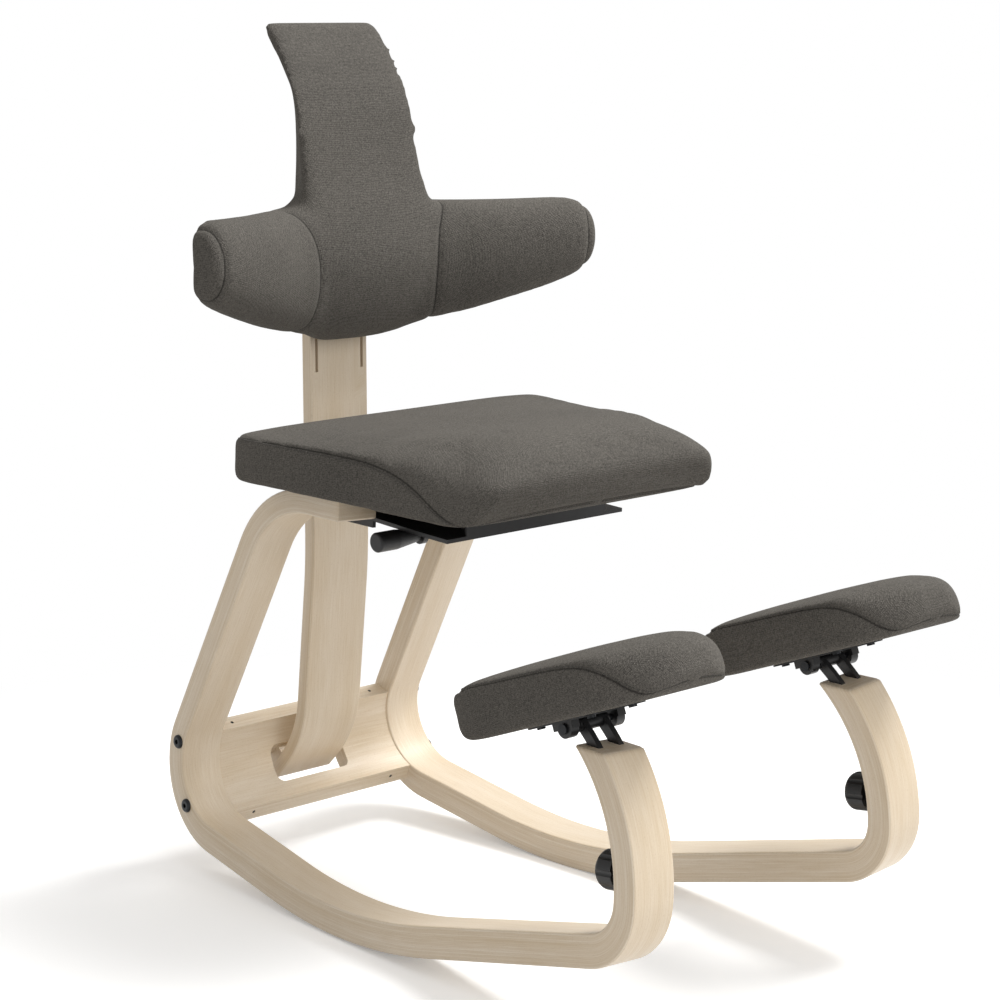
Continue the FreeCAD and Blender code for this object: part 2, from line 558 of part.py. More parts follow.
# Carriage: a steel plate on the core whose two tongues run in the guide slots of the post
CARRIAGE_HALF, CARRIAGE_Z = 36.0, (578.0, 664.0)
TONGUE, REAR_BAR_Y, REAR_BAR_Z = 1.6, (328.0, 332.0), (600.0, 642.0)
KNOB_Z = 621.0
web = box(-CARRIAGE_HALF, CARRIAGE_HALF, BACK_REAR, POST_Y - CLEAR, *CARRIAGE_Z)
tongues = [box(side * POST_SLOT_X - TONGUE, side * POST_SLOT_X + TONGUE, POST_Y - 2, REAR_BAR_Y[1],
               CARRIAGE_Z[0] + 6, CARRIAGE_Z[1] - 6) for side in (-1, 1)]
rear_bar = box(-CARRIAGE_HALF, CARRIAGE_HALF, *REAR_BAR_Y, *REAR_BAR_Z)
stud_hole = rod((0, REAR_BAR_Y[0] - 1, KNOB_Z), (0, REAR_BAR_Y[1] + 1, KNOB_Z), STUD + 0.06)
carriage = cut(fuse([web] + tongues + [rear_bar]), [stud_hole])


def carriage_screw(x, z):
    """Countersunk from the post side, so the plate stays flat against the post."""
    face = POST_Y - CLEAR
    head = Part.makeCone(5.0, 2.5, 2.5, V(x, face, z), V(0, -1, 0))
    return head.fuse(rod((x, face - 2.5, z), (x, face - 11.5, z), 2.5)).removeSplitter()


back_screws = [carriage_screw(x, z) for x in (-16, 16) for z in (590, 652)]
nodes["back_cushion"] = cut(back_form, [core, web] + back_screws)
nodes["back_core"] = cut(core, back_screws)
nodes["back_carriage"] = cut(carriage, back_screws)
nodes["back_carriage_screws"] = Part.makeCompound(back_screws)
post_rear_y = POST_Y + POST_THICK
nodes["back_pressure_pad"] = rod((0, post_rear_y + 0.1, KNOB_Z), (0, post_rear_y + 3.6, KNOB_Z), 11.0)


def lobed_knob(origin, axis, radius, depth, lobes=8):
    """A moulded grip: domed end, scalloped rim; its stud side is at the origin."""
    body = Part.makeCylinder(radius, depth, V(0, 0, 0), V(0, 0, 1))
    rim = [e for e in body.Edges if e.BoundBox.ZLength < 0.01 and abs(e.BoundBox.ZMax - depth) < 0.01]
    body = body.makeFillet(depth * 0.3, rim)
    for k in range(lobes):
        a = 2 * math.pi * k / lobes
        body = body.cut(Part.makeCylinder(radius * 0.2, depth + 2,
                                          V(1.12 * radius * math.cos(a), 1.12 * radius * math.sin(a), -1)))
    body.Placement = FreeCAD.Placement(V(*origin), FreeCAD.Rotation(V(0, 0, 1), V(*axis)))
    return body


hub = rod((0, REAR_BAR_Y[1] + 0.4, KNOB_Z), (0, REAR_BAR_Y[1] + 7, KNOB_Z), 9.0)
stud = rod((0, post_rear_y + 3.7, KNOB_Z), (0, REAR_BAR_Y[1] + 14, KNOB_Z), STUD)
grip_body = lobed_knob((0, REAR_BAR_Y[1] + 6, KNOB_Z), (0, 1, 0), 21.0, 19.0).fuse(hub)
nodes["back_knob"] = grip_body.cut(stud).removeSplitter()
nodes["back_knob_stud"] = stud

# Knee fork, clamp and knob, in the flat runner
HUB_HALF, HUB_RADIUS, PIN = 18.0, 6.0, 3.0
hinge = LEFT.multVec(V(MID, *arc_point(HINGE_RADIUS, HINGE_ANGLE)))


def hinge_rod(x0, x1, radius):
    """A round bar along the knee hinge, which lies square to the pad."""
    return rod((hinge.x + x0, hinge.y, hinge.z), (hinge.x + x1, hinge.y, hinge.z), radius)


prongs = [place_left(prong(MID + side * PRONG_GAP, PRONG_LOW_ANGLE, HINGE_ANGLE)) for side in (-1, 1)]
fork = fuse(prongs + [hinge_rod(-HUB_HALF, HUB_HALF, HUB_RADIUS)])
both_sides("knee_fork", fork.cut(hinge_rod(-HUB_HALF - 1, HUB_HALF + 1, PIN + 0.05)))
both_sides("knee_clamp_bar", place_left(clamp_bar()))
stud_end = clamp_in - 0.3
stud_clear = radial(concave - 3, stud_end, STUD + 0.06)
both_sides("knee_clamp_plate", place_left(insert_plate().cut(stud_clear)))
knee_stud = radial(concave - 22, stud_end, STUD)
KNOB_HUB, KNOB_HUB_RADIUS, KNOB_DEPTH = concave - 1.4, 9.0, 24.0
knob_face = concave - 9.0
start, further = arc_point(knob_face, KNOB_ANGLE), arc_point(knob_face - 1, KNOB_ANGLE)
knob = lobed_knob((MID, *start), (0, further[0] - start[0], further[1] - start[1]), KNOB_RADIUS, KNOB_DEPTH)
knob = knob.fuse(radial(KNOB_HUB, knob_face - 1, KNOB_HUB_RADIUS)).cut(knee_stud)
both_sides("knee_knob", place_left(knob.removeSplitter()))
both_sides("knee_knob_stud", place_left(knee_stud))

# Knee pad: steel plate with two lugs, plywood board and a crowned cushion
tilt = math.radians(PAD_TILT)
u_axis, v_axis = V(0, -math.cos(tilt), math.sin(tilt)), V(0, math.sin(tilt), math.cos(tilt))
PAD = FreeCAD.Placement(V(0, *PAD_CORNER), FreeCAD.Rotation(V(-1, 0, 0), u_axis, v_axis, "ZYX"))


def pad_point(x, u, v):
    """x across the pad, u along it to the front, v up out of its underside."""
    return PAD.multVec(V(-x, u, v))


def pad_box(x0, x1, u0, u1, v0, v1, corner=0.0):
    shape = box(-x1, -x0, u0, u1, v0, v1)
    if corner:
        shape = shape.makeFillet(corner, [e for e in shape.Edges if e.BoundBox.ZLength > v1 - v0 - 0.01])
    shape.Placement = PAD
    return shape


pad_form = loft([soft_section(lambda a, b, u=u: pad_point(a - PAD_X, u, b), half, seam, middle, low)
                 for u, half, seam, middle, low in PAD_SECTIONS])
knee_board = pad_box(-PAD_X - 60, -PAD_X + 60, 6, 186, 0, 9, 22)
PLATE_HALF, PLATE_U, PLATE_LOW = 37.0, (30.0, 122.0), -2.0
LUG_AT, LUG_WIDE, LUG_RADIUS = 29.0, 10.0, 9.0
plate_parts = [pad_box(-PAD_X - PLATE_HALF, -PAD_X + PLATE_HALF, *PLATE_U, PLATE_LOW, 0, 10)]
for side in (-1, 1):
    x0 = side * LUG_AT - LUG_WIDE / 2
    x1 = x0 + LUG_WIDE
    plate_parts.append(hinge_rod(x0, x1, LUG_RADIUS))
    plate_parts.append(pad_box(hinge.x + x0, hinge.x + x1, 63, 88, -9, 0))
above_plate = pad_box(-PAD_X - 90, -PAD_X + 90, -40, 260, 0, 60)
plate = cut(fuse(plate_parts), [hinge_rod(-60, 60, PIN + 0.05), above_plate])


def pad_rod(x, u, v0, v1, radius):
    return rod(pad_point(x, u, v0), pad_point(x, u, v1), radius)


pad_screws = []
for x in (-PAD_X - 26, -PAD_X + 26):
    for u in (42, 110):
        head = pad_rod(x, u, PLATE_LOW - 2, PLATE_LOW, 4.0)
        pad_screws.append(head.fuse(pad_rod(x, u, PLATE_LOW, 7, 2.0)).removeSplitter())
both_sides("knee_plate", cut(plate, pad_screws))
both_sides("knee_board", cut(knee_board, pad_screws))
both_sides("knee_screws", Part.makeCompound(pad_screws))
under_pad = pad_box(-PAD_X - 90, -PAD_X + 90, -40, 260, -20, 0)
both_sides("knee_cushion", cut(pad_form, [under_pad, knee_board]))
pin_end = LUG_AT + LUG_WIDE / 2 + 0.4
pin = fuse([hinge_rod(-pin_end, pin_end, PIN), hinge_rod(-pin_end - 2, -pin_end, 5.0),
            hinge_rod(pin_end, pin_end + 2, 5.0)])
both_sides("knee_hinge_pin", pin)

# The origin goes under the middle of the overall length
CENTRE_SHIFT = V(0, -2.47, 0)

os.makedirs("parts", exist_ok=True)
for name, shape in nodes.items():
    shape.translate(CENTRE_SHIFT)
    shape.exportStep("parts/" + name + ".step")
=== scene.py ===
import math

import bmesh
import bpy
import numpy as np
from mathutils import Matrix, Vector
from mathutils.bvhtree import BVHTree
from mathutils.kdtree import KDTree


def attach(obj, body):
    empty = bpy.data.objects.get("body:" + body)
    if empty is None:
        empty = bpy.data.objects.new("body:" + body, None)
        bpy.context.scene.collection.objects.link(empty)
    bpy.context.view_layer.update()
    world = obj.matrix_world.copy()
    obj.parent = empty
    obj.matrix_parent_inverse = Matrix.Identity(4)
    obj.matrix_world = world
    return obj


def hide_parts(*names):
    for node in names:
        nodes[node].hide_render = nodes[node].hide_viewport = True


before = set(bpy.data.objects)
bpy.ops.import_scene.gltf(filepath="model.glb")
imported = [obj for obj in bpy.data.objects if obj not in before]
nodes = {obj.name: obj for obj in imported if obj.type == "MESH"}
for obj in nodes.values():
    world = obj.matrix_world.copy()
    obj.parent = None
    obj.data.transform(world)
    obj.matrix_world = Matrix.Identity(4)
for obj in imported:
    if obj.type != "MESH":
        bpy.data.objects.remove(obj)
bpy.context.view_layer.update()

# ---- Studio: a pale floor that runs to white, one large soft lamp high up, a weak one in front
# and a bright room all round. The camera stands above the seat, off a front corner of the chair.
scene = bpy.context.scene
scene.view_settings.view_transform = "Standard"


def linear(code):
    """An sRGB hex colour as linear red, green, blue and alpha."""
    parts = [int(code[i:i + 2], 16) / 255 for i in (1, 3, 5)]
    return [c / 12.92 if c <= 0.04045 else ((c + 0.055) / 1.055) ** 2.4 for c in parts] + [1.0]


def add(tree, kind, inputs=None, **settings):
    """One node of a tree, with its settings; an input takes a value or another node's socket."""
    node = tree.nodes.new(kind)
    for key, value in settings.items():
        setattr(node, key, value)
    for key, value in (inputs or {}).items():
        if isinstance(value, bpy.types.NodeSocket):
            tree.links.new(value, node.inputs[key])
        else:
            node.inputs[key].default_value = value
    return node


def empty_material(name):
    material = bpy.data.materials.new(name)
    material.use_nodes = True
    material.node_tree.nodes.clear()
    return material, material.node_tree


camera_data = bpy.data.cameras.new("camera")
camera_data.sensor_width = 36.0
camera_data.lens = 92.43
camera = bpy.data.objects.new("camera", camera_data)
camera.location = (-1.728, -1.8255, 0.9197)
camera.rotation_euler = (math.radians(90 - 10.8605), 0, math.radians(-42.7185))
scene.collection.objects.link(camera)
scene.camera = camera

floor_mesh = bpy.data.meshes.new("floor")
floor_mesh.from_pydata([(-9, -9, 0), (9, -9, 0), (9, 9, 0), (-9, 9, 0)], [], [(0, 1, 2, 3)])
floor = bpy.data.objects.new("floor", floor_mesh)
scene.collection.objects.link(floor)
floor_paper, tree = empty_material("white paper sweep")
rays = add(tree, "ShaderNodeLightPath")
seen = add(tree, "ShaderNodeMath", {0: rays.outputs["Is Camera Ray"], 1: rays.outputs["Is Glossy Ray"]},
           operation="MAXIMUM")
seen = add(tree, "ShaderNodeMath", {0: seen.outputs[0], 1: rays.outputs["Is Transmission Ray"]},
           operation="MAXIMUM")
plain = add(tree, "ShaderNodeBsdfDiffuse", {"Color": (0.62, 0.61, 0.6, 1)})
shown = add(tree, "ShaderNodeBsdfDiffuse", {"Color": (0.97, 0.97, 0.965, 1)})
lift = add(tree, "ShaderNodeEmission", {"Color": (1, 1, 1, 1), "Strength": 0.24})
shown = add(tree, "ShaderNodeAddShader", {0: shown.outputs[0], 1: lift.outputs[0]})
place = add(tree, "ShaderNodeTexCoord")
apart = add(tree, "ShaderNodeVectorMath", {0: place.outputs["Object"]}, operation="LENGTH")
apart = add(tree, "ShaderNodeMapRange", {"Value": apart.outputs["Value"], "From Min": 0.5, "From Max": 1.15},
            interpolation_type="SMOOTHSTEP")
blank = add(tree, "ShaderNodeEmission", {"Color": (1, 1, 1, 1), "Strength": 1.0})
shown = add(tree, "ShaderNodeMixShader", {0: apart.outputs[0], 1: shown.outputs[0], 2: blank.outputs[0]})
mixed = add(tree, "ShaderNodeMixShader", {0: seen.outputs[0], 1: plain.outputs[0], 2: shown.outputs[0]})
add(tree, "ShaderNodeOutputMaterial", {"Surface": mixed.outputs[0]})
floor_mesh.materials.append(floor_paper)

room = bpy.data.worlds.new("white room")
scene.world = room
room.use_nodes = True
room.node_tree.nodes.clear()
tree = room.node_tree
rays = add(tree, "ShaderNodeLightPath")
seen = add(tree, "ShaderNodeMath", {0: rays.outputs["Is Camera Ray"], 1: rays.outputs["Is Transmission Ray"]},
           operation="MAXIMUM")
soft = add(tree, "ShaderNodeBackground", {"Color": (1.0, 0.985, 0.97, 1), "Strength": 0.6})
white = add(tree, "ShaderNodeBackground", {"Color": (1, 1, 1, 1), "Strength": 1.0})
mixed = add(tree, "ShaderNodeMixShader", {0: seen.outputs[0], 1: soft.outputs[0], 2: white.outputs[0]})
add(tree, "ShaderNodeOutputWorld", {"Surface": mixed.outputs[0]})


def soft_lamp(name, place, aim, size, watts):
    lamp_data = bpy.data.lights.new(name, "AREA")
    lamp_data.size = size
    lamp_data.energy = watts
    lamp = bpy.data.objects.new(name, lamp_data)
    lamp.location = place
    lamp.rotation_euler = (Vector(aim) - Vector(place)).to_track_quat("-Z", "Y").to_euler()
    scene.collection.objects.link(lamp)


soft_lamp("key lamp", (1.6, -0.7, 3.2), (0, 0, 0.35), 1.5, 122)
soft_lamp("front fill", (-0.3, -3.4, 1.7), (0, 0, 0.4), 2.2, 36)

# ---- Runners: beech veneers 1.5 mm thick, glued up in a curved press, 49 mm wide, sanded and
# lacquered clear. Each is swept from its outer line to its inner line, with eased edges, and
# carries the place along, across and through the laminate for its grain.
SHIFT = -0.00247
WIDE = 0.049
EASE = 0.0022
SPLAY, CAMBER = math.radians(2.56), math.radians(2.80)
RUNNER_CORNERS = [(0.105, 0.444), (0.2375, 0.444), (0.4477, 0.0496), (0.0735, -0.01327), (-0.3395, 0.0895),
                  (-0.3395, 0.145)]
OUTER_RADII = [0.125, 0.091, 0.640, 0.071]
INNER_RADII = [0.099, 0.062, 0.6085, 0.037]
THICK = [0.024, 0.026, 0.031, 0.032, 0.028]
ARC_CENTRE, ARC_RADIUS, ARC_TOP = (-0.1395, 0.145), 0.200, 0.275
POCKET_RADII, POCKET_ENDS = (0.1778, 0.1882), (math.radians(-7), math.radians(62))
POCKET_HALF, PRONG_GAP = 0.0032, 0.0125


def bend_points(before, corner, after, radius, count):
    """Points round the arc that joins two straight runs."""
    c, a, b = Vector(corner), Vector(before), Vector(after)
    u, w = (a - c).normalized(), (b - c).normalized()
    half = u.angle(w) / 2
    centre = c + (u + w).normalized() * (radius / math.sin(half))
    first = c + u * (radius / math.tan(half)) - centre
    sweep = math.pi - 2 * half
    sign = 1 if u.cross(w) < 0 else -1
    turn = [Matrix.Rotation(sign * sweep * k / count, 2) for k in range(count + 1)]
    return [centre + m @ first for m in turn]


def through(corners, radii, counts):
    """A line through straight runs and bends, with the same number of points for like inputs."""
    line = [Vector(corners[0])]
    for i, (radius, count) in enumerate(zip(radii, counts), 1):
        bend = bend_points(corners[i - 1], corners[i], corners[i + 1], radius, count)
        line += [line[-1].lerp(bend[0], k / 6) for k in range(1, 6)] + bend
    return line + [line[-1].lerp(Vector(corners[-1]), k / 6) for k in range(1, 7)]


def beside(corners, distances):
    """The corners of a second line that runs at the given distances inside the first."""
    runs = []
    for a, b, d in zip(corners, corners[1:], distances):
        a, b = Vector(a), Vector(b)
        along = (b - a).normalized()
        inward = Vector((along.y, -along.x)) * d
        runs.append((a + inward, b + inward))
    inner = [runs[0][0]]
    for (a, b), (c, d) in zip(runs, runs[1:]):
        u, w = b - a, d - c
        inner.append(a + u * ((c - a).cross(w) / u.cross(w)))
    return inner + [runs[-1][1]]


def round_section(thick, wide, ease):
    """Places (through, across) round a rectangle with eased corners, from the inner face."""
    ring = []
    for cx, cy, start in ((ease, wide - ease, 90), (thick - ease, wide - ease, 0), (thick - ease, ease, -90),
                          (ease, ease, -180)):
        corner = [(cx + ease * math.cos(math.radians(start + 90 - 30 * k)),
                   cy + ease * math.sin(math.radians(start + 90 - 30 * k))) for k in range(4)]
        ring += corner + corner[-1:]
    out = []
    for i, here in enumerate(ring):
        if i % 5 == 4:
            ahead = ring[(i + 1) % len(ring)]
            out += [(here[0] + (ahead[0] - here[0]) * k / 4, here[1] + (ahead[1] - here[1]) * k / 4)
                    for k in range(1, 4)]
        else:
            out.append(here)
    return out


def laminate(name, outer, inner, wide, place, flip):
    """A glued-up board between two lines in the YZ plane, as a closed mesh with its grain."""
    middle = [(o + i) / 2 for o, i in zip(outer, inner)]
    along = [0.0]
    for a, b in zip(middle, middle[1:]):
        along.append(along[-1] + (b - a).length)
    stations = []
    last = len(outer) - 1
    for i in range(last + 1):
        if 0 < i < last and min(along[i], along[-1] - along[i]) < 2 * EASE:
            continue
        stations.append((outer[i], inner[i], along[i], 0.0))
    for end, near in ((0, 1), (-1, -2)):
        o, n, a, _ = stations[end]
        o2, n2, a2, _ = stations[near]
        share = EASE / abs(a2 - a)
        eased = (o.lerp(o2, share), n.lerp(n2, share), a + (a2 - a) * share, 0.0)
        stations[end] = (o, n, a, EASE)
        stations.insert(1 if end == 0 else len(stations) - 1, eased)
    mesh = bmesh.new()
    grain = mesh.verts.layers.float_vector.new("grain")
    rings = []
    for o, n, a, inset in stations:
        thick = (o - n).length
        through_it = (o - n) / thick
        ring = []
        for d, x in round_section(thick - 2 * inset, wide - 2 * inset, max(EASE - inset * 0.7, 0.0004)):
            point = n + through_it * (d + inset)
            vert = mesh.verts.new(place @ Vector((x + inset, point.x, point.y)))
            vert[grain] = (a, x + inset, (d + inset) / thick * 0.0285)
            ring.append(vert)
        rings.append(ring)
    for a, b in zip(rings, rings[1:]):
        for k in range(len(a)):
            mesh.faces.new((a[k], a[k - 1], b[k - 1], b[k]))
    mesh.faces.new(rings[0])
    mesh.faces.new(list(reversed(rings[-1])))
    if flip:
        for vert in mesh.verts:
            vert.co.x = -vert.co.x
    bmesh.ops.recalc_face_normals(mesh, faces=mesh.faces)
    data = bpy.data.meshes.new(name)
    mesh.to_mesh(data)
    mesh.free()
    for face in data.polygons:
        face.use_smooth = True
    piece = bpy.data.objects.new(name, data)
    scene.collection.objects.link(piece)
    return piece


def plain_piece(name, verts, faces):
    data = bpy.data.meshes.new(name)
    data.from_pydata(verts, [], faces)
    piece = bpy.data.objects.new(name, data)
    scene.collection.objects.link(piece)
    return piece


def apply_modifiers(piece):
    """Turns what the modifiers make into the piece's own plain mesh."""
    evaluated = piece.evaluated_get(bpy.context.evaluated_depsgraph_get())
    data = bpy.data.meshes.new_from_object(evaluated, preserve_all_data_layers=True,
                                           depsgraph=bpy.context.evaluated_depsgraph_get())
    piece.modifiers.clear()
    piece.data = data


def cut_out(piece, cutters):
    for cutter in cutters:
        cut = piece.modifiers.new("cut", "BOOLEAN")
        cut.operation, cut.solver, cut.object = "DIFFERENCE", "EXACT", cutter
    apply_modifiers(piece)
    for cutter in cutters:
        bpy.data.objects.remove(cutter)


def even_normals(piece):
    """Keeps the wide faces flat beside their eased edges."""
    smooth = piece.modifiers.new("even", "WEIGHTED_NORMAL")
    smooth.keep_sharp = True
    apply_modifiers(piece)


def beech(name, pale="#E9DDCB", deep="#D0BB9B", polar=None):
    """Clear-lacquered laminated beech: long pale veneers, short darker flecks, and on the cut
    edges the fine stripes of the glued layers."""
    material, tree = empty_material(name)
    if polar:
        place = add(tree, "ShaderNodeTexCoord")
        xyz = add(tree, "ShaderNodeSeparateXYZ", {0: place.outputs["Object"]})
        y = add(tree, "ShaderNodeMath", {0: xyz.outputs[1], 1: polar[0]}, operation="SUBTRACT")
        z = add(tree, "ShaderNodeMath", {0: xyz.outputs[2], 1: polar[1]}, operation="SUBTRACT")
        flat = add(tree, "ShaderNodeCombineXYZ", {0: y.outputs[0], 1: z.outputs[0]})
        radius = add(tree, "ShaderNodeVectorMath", {0: flat.outputs[0]}, operation="LENGTH")
        turn = add(tree, "ShaderNodeMath", {0: z.outputs[0], 1: y.outputs[0]}, operation="ARCTAN2")
        across = add(tree, "ShaderNodeMath", {0: turn.outputs[0], 1: polar[2]}, operation="MULTIPLY")
        depth = add(tree, "ShaderNodeMath", {0: radius.outputs["Value"], 1: polar[2] - 0.0005},
                    operation="SUBTRACT")
        grain = add(tree, "ShaderNodeCombineXYZ", {0: xyz.outputs[0], 1: across.outputs[0],
                                                   2: depth.outputs[0]}).outputs[0]
    else:
        grain = add(tree, "ShaderNodeAttribute", attribute_name="grain").outputs["Vector"]
    parts = add(tree, "ShaderNodeSeparateXYZ", {0: grain})
    # veneers 1.5 mm thick, each its own tone, parted by a thin glue line
    layer = add(tree, "ShaderNodeMath", {0: parts.outputs[2], 1: 0.0015}, operation="DIVIDE")
    layer = add(tree, "ShaderNodeMath", {0: layer.outputs[0], 1: 0.35}, operation="ADD")
    number = add(tree, "ShaderNodeMath", {0: layer.outputs[0]}, operation="FLOOR")
    tone = add(tree, "ShaderNodeTexWhiteNoise", {"W": number.outputs[0]}, noise_dimensions="1D")
    inside = add(tree, "ShaderNodeMath", {0: layer.outputs[0]}, operation="FRACT")
    glue = add(tree, "ShaderNodeMapRange", {"Value": inside.outputs[0], "From Min": 0.0, "From Max": 0.16,
                                            "To Min": 1.0, "To Max": 0.0})
    # long figure: 40 mm by 1.2 mm streaks; flecks: 2.5 mm by 0.5 mm
    long_place = add(tree, "ShaderNodeVectorMath", {0: grain, 1: (24.0, 820.0, 820.0)}, operation="MULTIPLY")
    streak = add(tree, "ShaderNodeTexNoise", {"Vector": long_place.outputs[0], "Scale": 1.0, "Detail": 4.0,
                                              "Roughness": 0.6})
    fleck_place = add(tree, "ShaderNodeVectorMath", {0: grain, 1: (400.0, 2000.0, 2000.0)},
                      operation="MULTIPLY")
    fleck = add(tree, "ShaderNodeTexNoise", {"Vector": fleck_place.outputs[0], "Scale": 1.0, "Detail": 1.0})
    fleck = add(tree, "ShaderNodeMapRange", {"Value": fleck.outputs[0], "From Min": 0.60, "From Max": 0.74,
                                             "To Min": 0.0, "To Max": 0.30})
    broad_place = add(tree, "ShaderNodeVectorMath", {0: grain, 1: (3.0, 26.0, 60.0)}, operation="MULTIPLY")
    broad = add(tree, "ShaderNodeTexNoise", {"Vector": broad_place.outputs[0], "Scale": 1.0, "Detail": 3.0})
    figure = add(tree, "ShaderNodeMath", {0: streak.outputs[0], 1: broad.outputs[0]}, operation="ADD")
    figure = add(tree, "ShaderNodeMapRange", {"Value": figure.outputs[0], "From Min": 0.72, "From Max": 1.28,
                                              "To Min": 0.0, "To Max": 1.0})
    mixed = add(tree, "ShaderNodeMath", {0: figure.outputs[0], 1: 0.62}, operation="MULTIPLY")
    mixed = add(tree, "ShaderNodeMath", {0: tone.outputs[0], 1: 0.34, 2: mixed.outputs[0]},
                operation="MULTIPLY_ADD")
    colour = add(tree, "ShaderNodeMix", {0: mixed.outputs[0], 6: linear(pale), 7: linear(deep)},
                 data_type="RGBA")
    dark = add(tree, "ShaderNodeMath", {0: glue.outputs[0], 1: 0.28, 2: fleck.outputs[0]},
               operation="MULTIPLY_ADD")
    colour = add(tree, "ShaderNodeMix", {0: dark.outputs[0], 6: colour.outputs[2], 7: linear("#A2825A")},
                 data_type="RGBA")
    rough = add(tree, "ShaderNodeMapRange", {"Value": streak.outputs[0], "To Min": 0.36, "To Max": 0.50})
    height = add(tree, "ShaderNodeMath", {0: streak.outputs[0], 1: glue.outputs[0]}, operation="SUBTRACT")
    bump = add(tree, "ShaderNodeBump", {"Height": height.outputs[0], "Strength": 0.10, "Distance": 0.0004})
    shader = add(tree, "ShaderNodeBsdfPrincipled",
                 {"Base Color": colour.outputs[2], "Roughness": rough.outputs[0], "IOR": 1.48,
                  "Specular IOR Level": 0.4, "Coat Weight": 0.12, "Coat Roughness": 0.28,
                  "Normal": bump.outputs[0]})
    add(tree, "ShaderNodeOutputMaterial", {"Surface": shader.outputs[0]})
    return material


runner_wood = beech("beech laminate, clear lacquer")
counts = [14, 26, 44, 14]
outer = through(RUNNER_CORNERS, OUTER_RADII, counts)
inner_corners = beside(RUNNER_CORNERS, THICK)
inner_corners[-1] = Vector((ARC_CENTRE[0] - ARC_RADIUS + THICK[4], ARC_CENTRE[1]))
inner = through(inner_corners, INNER_RADII, counts)


def arc_line(radius, low, high, count):
    """Points round the front arc; 0 degrees is straight ahead of its centre."""
    angles = [low + (high - low) * k / count for k in range(count + 1)]
    return [Vector((ARC_CENTRE[0] - radius * math.cos(a), ARC_CENTRE[1] + radius * math.sin(a)))
            for a in angles]


rise = ARC_TOP - ARC_CENTRE[1]
front_in = ARC_RADIUS - THICK[4]
outer += arc_line(ARC_RADIUS, 0, math.asin(rise / ARC_RADIUS), 24)[1:]
inner += arc_line(front_in, 0, math.asin(rise / front_in), 24)[1:]
stand = (Matrix.Translation((-0.1855, 0.125 + SHIFT, WIDE * math.sin(CAMBER)))
         @ Matrix.Rotation(-SPLAY, 4, "Z") @ Matrix.Rotation(CAMBER, 4, "Y")
         @ Matrix.Translation((0, -0.125, 0)))


def prong_pocket(x, place, flip):
    """The curved pocket that one prong of the knee fork slides in."""
    ins, outs = (arc_line(radius, *POCKET_ENDS, 30) for radius in POCKET_RADII)
    verts = []
    for a, b in zip(ins, outs):
        verts += [place @ Vector((x + w, p.x, p.y)) for w in (-POCKET_HALF, POCKET_HALF) for p in (a, b)]
    if flip:
        verts = [Vector((-v.x, v.y, v.z)) for v in verts]
    faces = [(0, 1, 3, 2), tuple(len(verts) - 4 + k for k in (0, 2, 3, 1))]
    for k in range(len(ins) - 1):
        a, b = 4 * k, 4 * k + 4
        faces += [(a, b, b + 1, a + 1), (a + 1, b + 1, b + 3, a + 3), (a + 3, b + 3, b + 2, a + 2),
                  (a + 2, b + 2, b, a)]
    cutter = plain_piece("pocket", verts, faces)
    work = bmesh.new()
    work.from_mesh(cutter.data)
    bmesh.ops.recalc_face_normals(work, faces=work.faces)
    work.to_mesh(cutter.data)
    work.free()
    return cutter


for side, flip in (("left", False), ("right", True)):
    runner = laminate(side + "_runner_laminate", outer, inner, WIDE, stand, flip)
    cut_out(runner, [prong_pocket(WIDE / 2 + d, stand, flip) for d in (-PRONG_GAP, PRONG_GAP)])
    even_normals(runner)
    runner.data.materials.clear()
    runner.data.materials.append(runner_wood)
    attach(runner, "frame")
    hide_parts(side + "_runner")

# ---- Back post: one bent board, 78 mm by 15.5 mm, of the same beech, with two narrow slots
# milled through its upper part for the tongues of the backrest's carriage.
POST_CORNERS = [(0.3025, 0.795), (0.3025, 0.330), (0.3249, 0.1245), (0.377, 0.0724)]
POST_RADII = [0.600, 0.130]
POST_THICK, POST_WIDE = 0.0155, 0.078
SLOT_X, SLOT_WIDE, SLOT_LOW, SLOT_HIGH = 0.031, 0.0036, 0.538, 0.778
post_front = through(POST_CORNERS, POST_RADII, [30, 24])
post_rear = through(beside(POST_CORNERS, [-POST_THICK] * 3), [POST_RADII[0] - POST_THICK,
                                                            POST_RADII[1] - POST_THICK], [30, 24])
post = laminate("back_post_board", post_rear, post_front, POST_WIDE,
                Matrix.Translation((-POST_WIDE / 2, SHIFT, 0)), False)
cutters = []
for x in (-SLOT_X, SLOT_X):
    corners = [(x + i * SLOT_WIDE / 2, 0.31 + j * 0.03, z) for z in (SLOT_LOW, SLOT_HIGH)
               for i, j in ((-1, -1), (1, -1), (1, 1), (-1, 1))]
    cutters.append(plain_piece("guide slot", corners, [(3, 2, 1, 0), (4, 5, 6, 7), (0, 1, 5, 4),
                                                       (1, 2, 6, 5), (2, 3, 7, 6), (3, 0, 4, 7)]))
cut_out(post, cutters)
even_normals(post)
post.data.materials.clear()
post.data.materials.append(runner_wood)
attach(post, "frame")
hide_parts("back_post")

# ---- Cross panel and foot wedge: bent beech board between the rear bends, with its layers
# showing on the long edges and in the slot that the post leaves through.
BEND_CENTRE, PANEL_IN = (0.31008 + SHIFT, 0.12072), 0.062
panel_wood = beech("beech panel, clear lacquer", polar=(*BEND_CENTRE, PANEL_IN))


def finish_node(name, material):
    data = nodes[name].data
    data.materials.clear()
    data.materials.append(material)


for name in ("cross_panel", "post_foot_wedge"):
    finish_node(name, panel_wood)

